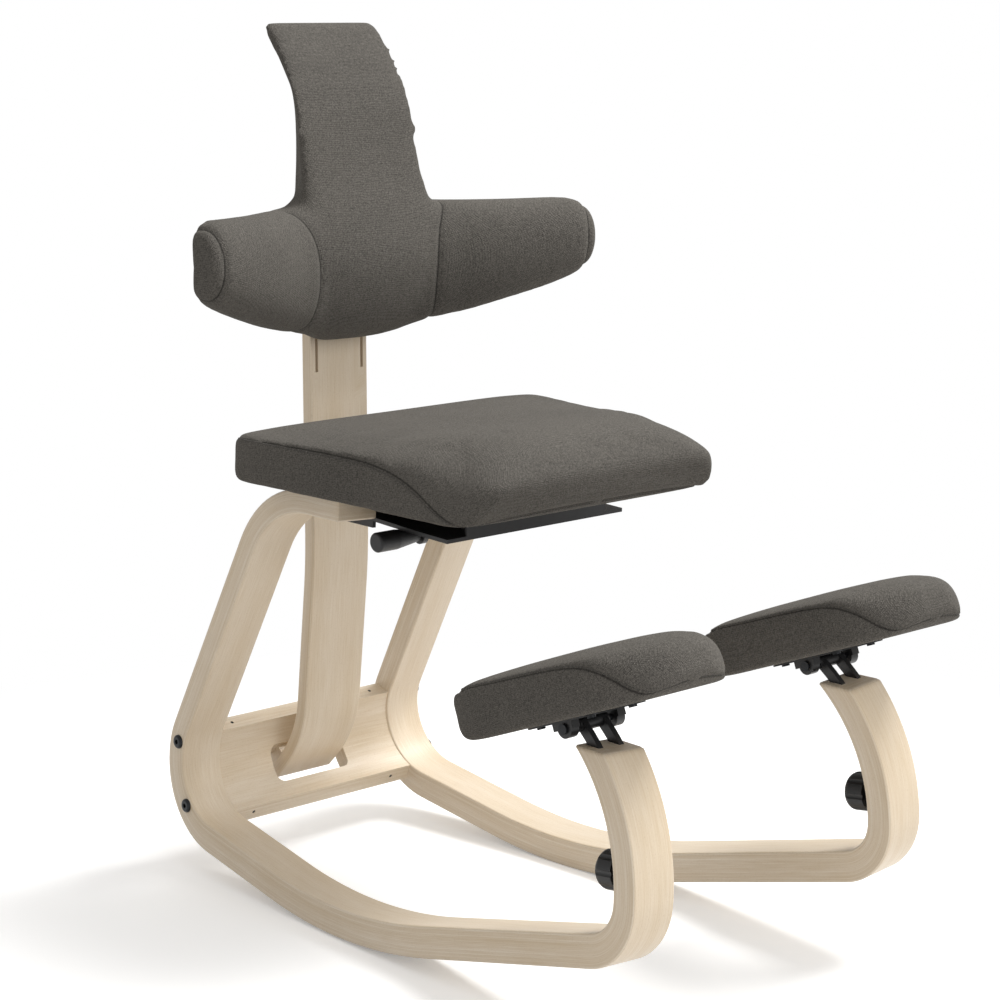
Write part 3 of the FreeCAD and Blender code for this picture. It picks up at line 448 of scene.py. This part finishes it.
# ---- Hidden boards: birch plywood, raw, let into the undersides of the cushions.
board_wood, tree = empty_material("raw birch plywood")
place = add(tree, "ShaderNodeTexCoord")
long_place = add(tree, "ShaderNodeMapping", {"Vector": place.outputs["Object"], "Scale": (300.0, 14.0, 90.0)})
streak = add(tree, "ShaderNodeTexNoise", {"Vector": long_place.outputs[0], "Scale": 1.0, "Detail": 4.0})
colour = add(tree, "ShaderNodeMix", {0: streak.outputs[0], 6: linear("#CDB48A"), 7: linear("#A88A5E")},
             data_type="RGBA")
bump = add(tree, "ShaderNodeBump", {"Height": streak.outputs[0], "Strength": 0.2, "Distance": 0.0005})
shader = add(tree, "ShaderNodeBsdfPrincipled", {"Base Color": colour.outputs[2], "Roughness": 0.75,
                                                "Normal": bump.outputs[0]})
add(tree, "ShaderNodeOutputMaterial", {"Surface": shader.outputs[0]})
for name in ("seat_board", "back_core", "left_knee_board", "right_knee_board"):
    finish_node(name, board_wood)


# ---- Steel and plastic: black powder coat on the tray, rails, forks and plates, zinc on the
# screws and pins, black moulded nylon for grips, shoes and knobs.
def grainy(name, colour, dark, roughness, metallic, grit, strength, **extra):
    """A finish whose colour and gloss vary with a fine grit, given in metres."""
    material, tree = empty_material(name)
    place = add(tree, "ShaderNodeTexCoord")
    speck = add(tree, "ShaderNodeTexNoise", {"Vector": place.outputs["Object"], "Scale": 1 / grit,
                                             "Detail": 2.0})
    wear = add(tree, "ShaderNodeTexNoise", {"Vector": place.outputs["Object"], "Scale": 35.0, "Detail": 5.0})
    tone = add(tree, "ShaderNodeMix", {0: wear.outputs[0], 6: linear(colour), 7: linear(dark)},
               data_type="RGBA")
    rough = add(tree, "ShaderNodeMapRange", {"Value": wear.outputs[0], "To Min": roughness - 0.08,
                                             "To Max": roughness + 0.08})
    bump = add(tree, "ShaderNodeBump", {"Height": speck.outputs[0], "Strength": strength,
                                        "Distance": grit / 3})
    shader = add(tree, "ShaderNodeBsdfPrincipled",
                 {"Base Color": tone.outputs[2], "Roughness": rough.outputs[0], "Metallic": metallic,
                  "Normal": bump.outputs[0], **extra})
    add(tree, "ShaderNodeOutputMaterial", {"Surface": shader.outputs[0]})
    return material


powder_coat = grainy("black powder-coated steel", "#1F1F20", "#151516", 0.42, 0.0, 0.0006, 0.25)
zinc = grainy("bright zinc-plated steel", "#B9BBBD", "#9A9C9F", 0.34, 1.0, 0.0008, 0.1)
black_zinc = grainy("black zinc-plated steel", "#2C2E31", "#1E2022", 0.38, 0.6, 0.0008, 0.1)
nylon = grainy("black moulded nylon", "#1B1B1C", "#131314", 0.46, 0.0, 0.0004, 0.18)
for name in ("seat_carrier", "left_seat_rail", "right_seat_rail", "lever_lugs", "back_carriage",
             "left_knee_fork", "right_knee_fork", "left_knee_plate", "right_knee_plate", "lever_rod",
             "left_knee_clamp_plate", "right_knee_clamp_plate", "left_knee_clamp_bar",
             "right_knee_clamp_bar"):
    finish_node(name, powder_coat)
for name in ("post_foot_screws", "rail_rivets", "seat_screws", "back_carriage_screws", "back_knob_stud"):
    finish_node(name, zinc)
for name in ("panel_bolts", "panel_edge_pins", "carrier_screws", "left_knee_screws", "right_knee_screws",
             "left_knee_hinge_pin", "right_knee_hinge_pin", "left_knee_knob_stud", "right_knee_knob_stud"):
    finish_node(name, black_zinc)
for name in ("lever_grip", "back_knob", "left_knee_knob", "right_knee_knob", "left_seat_shoe",
             "right_seat_shoe", "seat_brake", "back_pressure_pad"):
    finish_node(name, nylon)


# ---- Cushions: moulded foam in a sewn cover of wool-blend cloth, dark grey with paler yarns in
# it. Top and sides are separate panels, joined by a sunk seam, stitched on the seat and pads.
def wool(name):
    """Plain-woven wool blend, two greys of yarn twisted together. Yarns are drawn 1.7 mm
    apart, about twice the real spacing, so that they show at this distance."""
    material, tree = empty_material(name)
    place = add(tree, "ShaderNodeTexCoord")
    wander = add(tree, "ShaderNodeTexNoise", {"Vector": place.outputs["Object"], "Scale": 60.0,
                                              "Detail": 2.0})
    wander = add(tree, "ShaderNodeVectorMath", {0: wander.outputs["Color"], 1: (0.0022, 0.0022, 0.0022)},
                 operation="MULTIPLY")
    at = add(tree, "ShaderNodeVectorMath", {0: place.outputs["Object"], 1: wander.outputs[0]})
    waves = add(tree, "ShaderNodeVectorMath", {0: at.outputs[0], 1: (2 * math.pi / 0.0017,) * 3},
                operation="MULTIPLY")
    waves = add(tree, "ShaderNodeVectorMath", {0: waves.outputs[0]}, operation="SINE")
    xyz = add(tree, "ShaderNodeSeparateXYZ", {0: waves.outputs[0]})
    xy = add(tree, "ShaderNodeMath", {0: xyz.outputs[0], 1: xyz.outputs[1]}, operation="MULTIPLY")
    yz = add(tree, "ShaderNodeMath", {0: xyz.outputs[1], 1: xyz.outputs[2], 2: xy.outputs[0]},
             operation="MULTIPLY_ADD")
    weave = add(tree, "ShaderNodeMath", {0: xyz.outputs[2], 1: xyz.outputs[0], 2: yz.outputs[0]},
                operation="MULTIPLY_ADD")
    yarn = add(tree, "ShaderNodeTexNoise", {"Vector": place.outputs["Object"], "Scale": 620.0,
                                            "Detail": 2.0, "Roughness": 0.7})
    cloud = add(tree, "ShaderNodeTexNoise", {"Vector": place.outputs["Object"], "Scale": 9.0,
                                             "Detail": 3.0})
    mix = add(tree, "ShaderNodeMath", {0: weave.outputs[0], 1: 0.06, 2: yarn.outputs[0]},
              operation="MULTIPLY_ADD")
    mix = add(tree, "ShaderNodeMath", {0: cloud.outputs[0], 1: 0.16, 2: mix.outputs[0]},
              operation="MULTIPLY_ADD")
    mix = add(tree, "ShaderNodeMapRange", {"Value": mix.outputs[0], "From Min": 0.34, "From Max": 0.86})
    colour = add(tree, "ShaderNodeMix", {0: mix.outputs[0], 6: linear("#393734"), 7: linear("#6E6A64")},
                 data_type="RGBA")
    # painted shade: within about 2 mm of a seam the cloth colour is darkened, down to 30 % on the seam line,
    # for the shade in the sunk seam's crease
    seam = add(tree, "ShaderNodeAttribute", attribute_name="seam")
    seam = add(tree, "ShaderNodeMath", {0: seam.outputs["Fac"]}, operation="ABSOLUTE")
    seam = add(tree, "ShaderNodeMapRange", {"Value": seam.outputs[0], "From Min": 0.0003, "From Max": 0.0018,
                                            "To Min": 0.30, "To Max": 1.0})
    colour = add(tree, "ShaderNodeVectorMath", {0: colour.outputs[2], "Scale": seam.outputs[0]},
                 operation="SCALE")
    height = add(tree, "ShaderNodeMath", {0: yarn.outputs[0], 1: 1.2, 2: weave.outputs[0]},
                 operation="MULTIPLY_ADD")
    bump = add(tree, "ShaderNodeBump", {"Height": height.outputs[0], "Strength": 0.55,
                                        "Distance": 0.00045})
    shader = add(tree, "ShaderNodeBsdfPrincipled",
                 {"Base Color": colour.outputs[0], "Roughness": 0.92, "Specular IOR Level": 0.2,
                  "Sheen Weight": 0.18, "Sheen Roughness": 0.45, "Sheen Tint": linear("#B8B2A6"),
                  "Normal": bump.outputs[0]})
    add(tree, "ShaderNodeOutputMaterial", {"Surface": shader.outputs[0]})
    return material


# how full each crown is: 2 is an ellipse, and more is flatter with tighter shoulders
SEAT_POWER, PAD_POWER, SPINE_POWER, WING_POWER = 3.2, 2.8, 2.5, 2.1
PRESSURE, SWELL_FRAMES = 4, 20
SEAM_SINK, SEAM_WIDTH, PUCKER_SINK, PUCKER_WIDTH = 0.0016, 0.0035, 0.0008, 0.009
STITCH_PITCH, STITCH_LONG, THREAD_RADIUS = 0.0040, 0.0027, 0.00042


def catmull(rows, at):
    """A row of values at a fractional place along a list of rows, on a smooth curve."""
    last = len(rows) - 1
    i = min(int(at), last - 1)
    t = at - i
    a, b, c, d = (np.array(rows[min(max(i + k, 0), last)], float) for k in (-1, 0, 1, 2))
    square, cube = 2 * a - 5 * b + 4 * c - d, 3 * b - a - 3 * c + d
    return 0.5 * (2 * b + (c - a) * t + square * t * t + cube * t ** 3)


def stuffed_ring(half, seam, middle, low, narrow, power):
    """Places (across, up) round one section: underside, side panel, seam and crowned top."""
    height = seam - low
    ease = min(0.006, height * 0.35)
    foot = half - narrow
    right = [((foot - ease) * k / 8, low) for k in range(1, 9)]
    right += [(foot - ease + ease * math.sin(a), low + ease - ease * math.cos(a))
              for a in (math.radians(30 * k) for k in range(1, 4))]
    for k in range(1, 9):
        t = k / 8
        drawn = 0.0015 * math.sin(math.pi * t) * min(height / 0.03, 1)
        right.append((foot + narrow * t - drawn, low + ease + (height - ease) * t))
    for k in range(1, 17):
        a = math.radians(90 * k / 17)
        right.append((half * math.cos(a) ** (2 / power), seam + (middle - seam) * math.sin(a) ** (2 / power)))
    left = [(-x, z) for x, z in reversed(right)]
    return [(0, low)] + right + [(0, middle)] + left


def stuffed_form(sections, put, power, step=0.006):
    """Vertices and faces of a closed form through sections in mm: place, half width, heights of
    the seam, the middle and the underside, and how much the underside is drawn in."""
    verts, faces = [], []
    length = abs(sections[-1][0] - sections[0][0]) / 1000
    count = max(int(length / step), 3 * len(sections))
    for k in range(count + 1):
        row = catmull(sections, (len(sections) - 1) * k / count) / 1000
        drawn_in = row[5] if len(row) > 5 else 0.0
        ring = stuffed_ring(*row[1:5], drawn_in, power)
        verts += [put(a, row[0], b) for a, b in ring]
    n = len(ring)
    for k in range(count):
        for j in range(n):
            m = (j + 1) % n
            faces.append((k * n + j, k * n + m, (k + 1) * n + m, (k + 1) * n + j))
    faces += [tuple(range(n)), tuple(reversed(range(count * n, count * n + n)))]
    return verts, faces


def joined_form(name, forms):
    """One object from several closed forms, with every face outwards."""
    work = bmesh.new()
    for verts, faces in forms:
        part = bmesh.new()
        made = [part.verts.new(v) for v in verts]
        for face in faces:
            part.faces.new([made[i] for i in face])
        bmesh.ops.recalc_face_normals(part, faces=part.faces)
        data = bpy.data.meshes.new("part")
        part.to_mesh(data)
        part.free()
        work.from_mesh(data)
    data = bpy.data.meshes.new(name)
    work.to_mesh(data)
    work.free()
    piece = bpy.data.objects.new(name, data)
    scene.collection.objects.link(piece)
    return piece


def smooth_line(points, spacing=0.0015):
    """Places every 1.5 mm along a smooth curve through a few points."""
    rows = [np.array(p, float) for p in points]
    dense = [catmull(rows, (len(rows) - 1) * k / (40 * len(rows))) for k in range(40 * len(rows) + 1)]
    gaps = [0.0] + [float(np.linalg.norm(b - a)) for a, b in zip(dense, dense[1:])]
    along = np.cumsum(gaps)
    at = np.arange(0, along[-1], spacing)
    return np.stack([np.interp(at, along, [d[i] for d in dense]) for i in range(3)], axis=1)


def on_surface(piece, line):
    """The nearest places on a piece to those of a line, with the surface's normals there."""
    tree = BVHTree.FromObject(piece, bpy.context.evaluated_depsgraph_get())
    hits = [tree.find_nearest(Vector(p)) for p in line]
    return np.array([h[0] for h in hits]), np.array([h[1] for h in hits])


def settled(piece, line):
    """A line drawn onto a piece: snapped to it, evened out along its length and snapped again."""
    rows = on_surface(piece, line)[0]
    for _ in range(3):
        rows = np.concatenate([np.repeat(rows[:1], 5, axis=0), rows, np.repeat(rows[-1:], 5, axis=0)])
        rows = np.stack([np.convolve(rows[:, i], np.ones(11) / 11, "valid") for i in range(3)], axis=1)
    return on_surface(piece, rows)


def places(mesh):
    flat = np.empty(len(mesh.vertices) * 3)
    mesh.vertices.foreach_get("co", flat)
    return flat.reshape(-1, 3)


def seam_distance(points, lines):
    """Signed distance of each point from the nearest seam line, positive on the seam's left."""
    best = np.full(len(points), 0.03)
    for line, normals in lines:
        tree = KDTree(len(line))
        for i, p in enumerate(line):
            tree.insert(p, i)
        tree.balance()
        ahead = np.roll(line, -1, axis=0) - line
        ahead[-1] = ahead[-2]
        ahead /= np.linalg.norm(ahead, axis=1)[:, None]
        left = np.cross(normals, ahead)
        for i, p in enumerate(points):
            _, k, reach = tree.find(p)
            if reach < abs(best[i]) and reach < 0.03:
                best[i] = math.copysign(reach, float(np.dot(p - line[k], left[k])))
    return best


def stuff(piece, lines, pinned, voxel, cap, relax=5, fillets=None):
    """Remeshes a closed form evenly, lets its panels swell between the seams as foam does
    under a tight cover, then sinks the seams and keeps their distance for the cloth's material."""
    even = piece.modifiers.new("even", "REMESH")
    even.mode, even.voxel_size = "VOXEL", voxel
    apply_modifiers(piece)
    ease = piece.modifiers.new("ease", "SMOOTH")
    ease.factor, ease.iterations = 0.5, relax
    apply_modifiers(piece)
    if fillets:
        group = piece.vertex_groups.new(name="fillets")
        for i, p in enumerate(places(piece.data)):
            weight = fillets(p)
            if weight > 0:
                group.add([i], weight, "REPLACE")
        ease = piece.modifiers.new("fillets", "SMOOTH")
        ease.factor, ease.iterations, ease.vertex_group = 0.5, 60, "fillets"
        apply_modifiers(piece)
    seams = [settled(piece, line) for line in lines]
    start = places(piece.data)
    away = np.abs(seam_distance(start, seams))
    group = piece.vertex_groups.new(name="held")
    for i, p in enumerate(start):
        weight = max(1.0 - away[i] / 0.009, float(pinned(p)))
        if weight > 0:
            group.add([i], float(min(weight, 1)), "REPLACE")
    cloth = piece.modifiers.new("swell", "CLOTH")
    cloth.settings.vertex_group_mass = "held"
    cloth.settings.use_pressure = True
    cloth.settings.uniform_pressure_force = PRESSURE
    cloth.settings.quality = 6
    cloth.settings.effector_weights.gravity = 0
    for frame_number in range(1, SWELL_FRAMES + 1):
        scene.frame_set(frame_number)
    apply_modifiers(piece)
    moved = places(piece.data) - start
    reach = np.linalg.norm(moved, axis=1)[:, None]
    moved *= cap / np.maximum(reach + cap * 0.6, cap)
    piece.data.vertices.foreach_set("co", (start + moved).ravel())
    piece.data.update()
    scene.frame_set(1)
    piece.vertex_groups.clear()
    finer = piece.modifiers.new("finer", "SUBSURF")
    finer.levels = finer.render_levels = 1
    apply_modifiers(piece)
    seams = [settled(piece, line) for line, _ in seams]
    points = places(piece.data)
    away = seam_distance(points, seams)
    flat = np.empty(len(points) * 3)
    piece.data.vertex_normals.foreach_get("vector", flat)
    sink = SEAM_SINK * np.exp(-(away / SEAM_WIDTH) ** 2) + PUCKER_SINK * np.exp(-(away / PUCKER_WIDTH) ** 2)
    piece.data.vertices.foreach_set("co", (points - flat.reshape(-1, 3) * sink[:, None]).ravel())
    kept = piece.data.attributes.new("seam", "FLOAT", "POINT")
    kept.data.foreach_set("value", away)
    for face in piece.data.polygons:
        face.use_smooth = True
    piece.data.materials.clear()
    piece.data.materials.append(cloth_cover)
    piece.data.update()
    return seams


def stitches(name, cover, seams, body, aside=0.0021):
    """A row of stitches just beside each seam: waxed thread, 3 mm long, every 4 mm."""
    work = bmesh.new()
    for line, normals in seams:
        ahead = np.gradient(line, axis=0)
        ahead /= np.linalg.norm(ahead, axis=1)[:, None]
        row, normals = settled(cover, line + np.cross(normals, ahead) * aside)
        row = row + normals * 0.0002
        made = [work.verts.new(p) for p in row]
        for a, b in zip(made, made[1:]):
            work.edges.new((a, b))
    data = bpy.data.meshes.new(name)
    work.to_mesh(data)
    work.free()
    piece = bpy.data.objects.new(name, data)
    scene.collection.objects.link(piece)
    tree = bpy.data.node_groups.new("stitch row", "GeometryNodeTree")
    face = tree.interface
    face.new_socket("Geometry", in_out="INPUT", socket_type="NodeSocketGeometry")
    pitch_id = face.new_socket("Stitch pitch", in_out="INPUT", socket_type="NodeSocketFloat").identifier
    long_id = face.new_socket("Stitch length", in_out="INPUT", socket_type="NodeSocketFloat").identifier
    thick_id = face.new_socket("Thread radius", in_out="INPUT", socket_type="NodeSocketFloat").identifier
    face.new_socket("Geometry", in_out="OUTPUT", socket_type="NodeSocketGeometry")
    given = add(tree, "NodeGroupInput")
    curve = add(tree, "GeometryNodeMeshToCurve", {"Mesh": given.outputs["Geometry"]})
    row = add(tree, "GeometryNodeResampleCurve",
              {"Curve": curve.outputs[0], "Length": given.outputs["Stitch pitch"]}, mode="LENGTH")
    ahead = add(tree, "GeometryNodeInputTangent")
    turn = add(tree, "FunctionNodeAlignRotationToVector", {"Vector": ahead.outputs[0]}, axis="Z")
    thread = add(tree, "GeometryNodeMeshCylinder", {"Vertices": 6, "Radius": given.outputs["Thread radius"],
                                                    "Depth": given.outputs["Stitch length"]})
    points = add(tree, "GeometryNodeInstanceOnPoints",
                 {"Points": row.outputs[0], "Instance": thread.outputs[0], "Rotation": turn.outputs[0]})
    solid = add(tree, "GeometryNodeRealizeInstances", {0: points.outputs[0]})
    dressed = add(tree, "GeometryNodeSetMaterial", {"Geometry": solid.outputs[0], "Material": seam_thread})
    add(tree, "NodeGroupOutput", {0: dressed.outputs[0]})
    rows = piece.modifiers.new("stitches", "NODES")
    rows.node_group = tree
    rows[pitch_id], rows[long_id], rows[thick_id] = STITCH_PITCH, STITCH_LONG, THREAD_RADIUS
    apply_modifiers(piece)
    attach(piece, body)


cloth_cover = wool("dark warm grey wool blend, plain weave")
seam_thread = grainy("waxed charcoal sewing thread", "#4A4742", "#33312E", 0.7, 0.0, 0.0006, 0.3)

# ---- Seat: crowned foam on its board, a band sewn round the sides and rear. The band narrows to
# the front, where the top runs over the nose and under it. A zip closes it at the rear.
SEAT_ROWS = [(233, 162, 33, 36, 18), (232, 180, 37, 40, 12), (228, 197, 42, 46, 6),
             (218, 206, 46.5, 49, 1), (198, 208, 48, 50.5, 0), (120, 195.5, 48.5, 56.5, 0),
             (75, 189.5, 48.5, 62, 0), (40, 184.5, 47.5, 66.5, 0), (5, 180, 41, 70.5, 0),
             (-18, 177, 32, 73, 0), (-38, 174.5, 19, 74.5, 0), (-56, 172, 9.5, 74, 0),
             (-70, 169.5, 6.5, 72.5, 0.8), (-82, 166.5, 8, 70, 3), (-92, 162, 16, 65, 9),
             (-100, 156, 26, 59, 18), (-106, 147, 36, 52, 29), (-109.5, 137, 41, 47, 38)]
tilt = math.radians(2.6)
seat_place = (Matrix.Translation((0, 0.126 + SHIFT, 0.449)) @ Matrix.Rotation(tilt, 4, "X")
              @ Matrix.Translation((0, -0.126, 0)))
seat = joined_form("seat_cushion_cover",
                   [stuffed_form(SEAT_ROWS, lambda a, y, b: seat_place @ Vector((a, y, b)), SEAT_POWER)])
seam_half = [(0, 233, 37), (90, 233, 37), (167, 232, 38.5), (192, 229, 42), (205, 219, 46.5),
             (208, 200, 48.5)]
seam_half += [(row[1] - 0.5, row[0], row[2]) for row in SEAT_ROWS[5:12]]
seam_half += [(165, -68, 4), (155, -80, 4), (130, -87, 6), (80, -91, 8), (0, -92, 9)]
seat_seam = smooth_line([seat_place @ Vector((x / 1000, y / 1000, z / 1000)) for x, y, z in seam_half])
mirror = np.array([-1.0, 1.0, 1.0])


def under_seat(p):
    return (seat_place.inverted() @ Vector(p)).z < 0.004


seat_seams = stuff(seat, [seat_seam, (seat_seam * mirror)[::-1]], under_seat, 0.005, 0.0045)
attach(seat, "seat")
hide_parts("seat_cushion")
stitches("seat_stitches", seat, seat_seams, "seat")

# ---- Knee pads: the same foam and cloth on a smaller board, one for each shin, tipped up to the
# front. The band runs out under the nose as the seat's does.
PAD_ROWS = [(-28, 52, 27, 30, 21), (-26.5, 60, 33, 36, 14), (-22, 67, 40, 44, 8),
            (-11, 72.5, 46, 50, 1.5), (8, 74.5, 48.5, 53.5, 0), (45, 74.5, 47.5, 54, 0),
            (85, 74.5, 46.5, 54, 0), (120, 74.5, 45, 54, 0), (145, 74.3, 43, 53.5, 0),
            (162, 73.8, 40, 53.5, 0), (176, 71, 33, 53, 0), (190, 65.5, 22, 51, 0),
            (203, 57, 11, 48.5, 0.5), (213, 46, 8, 45, 2.5), (220, 34, 11, 40, 6), (225, 20, 17, 33, 12)]
PAD_X, PAD_TILT = 0.166, math.radians(20.7)
pad_place = (Matrix.Translation((0, -0.174 + SHIFT, 0.2724)) @ Matrix.Rotation(math.pi, 4, "Z")
             @ Matrix.Rotation(PAD_TILT, 4, "X"))
pad_seam_half = [(0, -22, 42), (35, -21.5, 42), (60, -18, 44), (70, -9, 47), (74, 8, 49)]
pad_seam_half += [(row[1] - 0.3, row[0], row[2]) for row in PAD_ROWS[5:12]]
pad_seam_half += [(55, 203, 6), (42, 211, 3), (24, 217, 5), (0, 219, 6)]


def under_pad(p):
    return (pad_place.inverted() @ Vector(p)).z < 0.004


for side, sign in (("left", -1), ("right", 1)):
    form = stuffed_form(PAD_ROWS, lambda a, u, b: pad_place @ Vector((a - sign * PAD_X, u, b)),
                        PAD_POWER, step=0.005)
    pad = joined_form(side + "_knee_cushion_cover", [form])
    lines = []
    for half in (1, -1):
        line = smooth_line([pad_place @ Vector((half * x / 1000 - sign * PAD_X, u / 1000, v / 1000))
                            for x, u, v in pad_seam_half])
        lines.append(line[::half])
    pad_seams = stuff(pad, lines, under_pad, 0.004, 0.004)
    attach(pad, side + "_knee_pad")
    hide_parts(side + "_knee_cushion")
    stitches(side + "_knee_stitches", pad, pad_seams, side + "_knee_pad")

# ---- Backrest: one upholstered form, a spine that leans back at its top and two wings that wrap
# forward. Four panels of cloth: the spine, a wing on each side, and a D-shaped cap on each end.
SPINE_ROWS = [(573, 30, 8, 11, 0, 0), (577, 48, 16, 26, 0, 1), (584, 64, 29, 40, 0, 3),
              (600, 79, 39, 53, 0, 6), (632, 87, 51, 64, 0, 14), (665, 88, 57, 68, 0, 19),
              (700, 87, 52, 61, 0, 20), (735, 85, 43, 49, 0, 19), (770, 82, 35, 39, 0, 18),
              (811, 80, 27, 29.5, 0, 16), (838, 79, 19.5, 21.5, 0, 12), (868, 77, 17.5, 19.5, 0, 6),
              (888, 74.5, 15.5, 17.5, 0, 0), (900, 69, 11.5, 13.5, 0, -7), (904.5, 60, 7, 9, 0, -12)]
SPINE_REAR = [(573, 296), (820, 297), (838, 298.5), (868, 314), (890, 328), (905, 334)]
WING_ROWS = [(50, 240, 292, 582, 740), (66, 235, 292, 583, 729), (84, 229, 291, 586, 721),
             (104, 223, 288, 590, 717), (137, 208, 272, 598, 715), (175, 192, 252, 609, 715),
             (212, 178, 233, 620, 716), (241, 170, 219, 631, 716), (253, 170.5, 213, 638, 711),
             (260.5, 174, 208, 646, 703)]


WING_SEAM = 0.42                      # where a wing's underlying side ends, as a share of its thickness


def put_spine(a, z, b):
    rear = np.interp(z * 1000, [r[0] for r in SPINE_REAR], [r[1] for r in SPINE_REAR]) / 1000
    return Vector((a, rear - b + SHIFT, z))


def wing_form(sign):
    rows = [(x, (top - low) / 2, (rear - front) * WING_SEAM, rear - front, 0)
            for x, front, rear, low, top in WING_ROWS]

    def put(a, x, b):
        rear, low, top = (np.interp(x * 1000, [r[0] for r in WING_ROWS], [r[i] for r in WING_ROWS]) / 1000
                          for i in (2, 3, 4))
        return Vector((sign * x, rear - b + SHIFT, (low + top) / 2 + a))
    return stuffed_form(rows, put, WING_POWER, step=0.005)


back = joined_form("back_cushion_cover", [stuffed_form(SPINE_ROWS, put_spine, SPINE_POWER, step=0.005),
                                          wing_form(1), wing_form(-1)])


def near_fillet(p):
    """Full in the hollow where spine and wings meet, none on the rear face and at the ends."""
    x, z = abs(p[0]), p[2]
    return max(0.0, 1 - abs(x - 0.092) / 0.034) * min(1.0, max(0.0, (0.30 - p[1]) / 0.02)) * (0.56 < z < 0.79)


back_lines = []
for sign in (1, -1):
    arc = [(106, 262, 716), (98, 240, 711), (89, 238, 698), (83, 234, 680), (81, 236, 655), (83, 246, 625),
           (88, 262, 603), (93, 285, 594)]
    cap = [(253, 216, 708), (251, 197, 709), (248, 179, 699), (246, 172, 681), (246, 170.5, 664),
           (247, 174, 651), (250, 185, 640), (253, 199, 635), (254, 215, 637)]
    for run in (arc, cap):
        line = smooth_line([(sign * x / 1000, y / 1000 + SHIFT, z / 1000) for x, y, z in run])
        back_lines.append(line[::sign])


def back_held(p):
    """Held where the back rests on its core, and more and more where the spine thins upwards."""
    return 1.0 if p[1] > 0.290 else min(1.0, max(0.0, (p[2] - 0.72) / 0.06))


stuff(back, back_lines, back_held, 0.004, 0.004, relax=12, fillets=near_fillet)
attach(back, "backrest")
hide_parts("back_cushion")
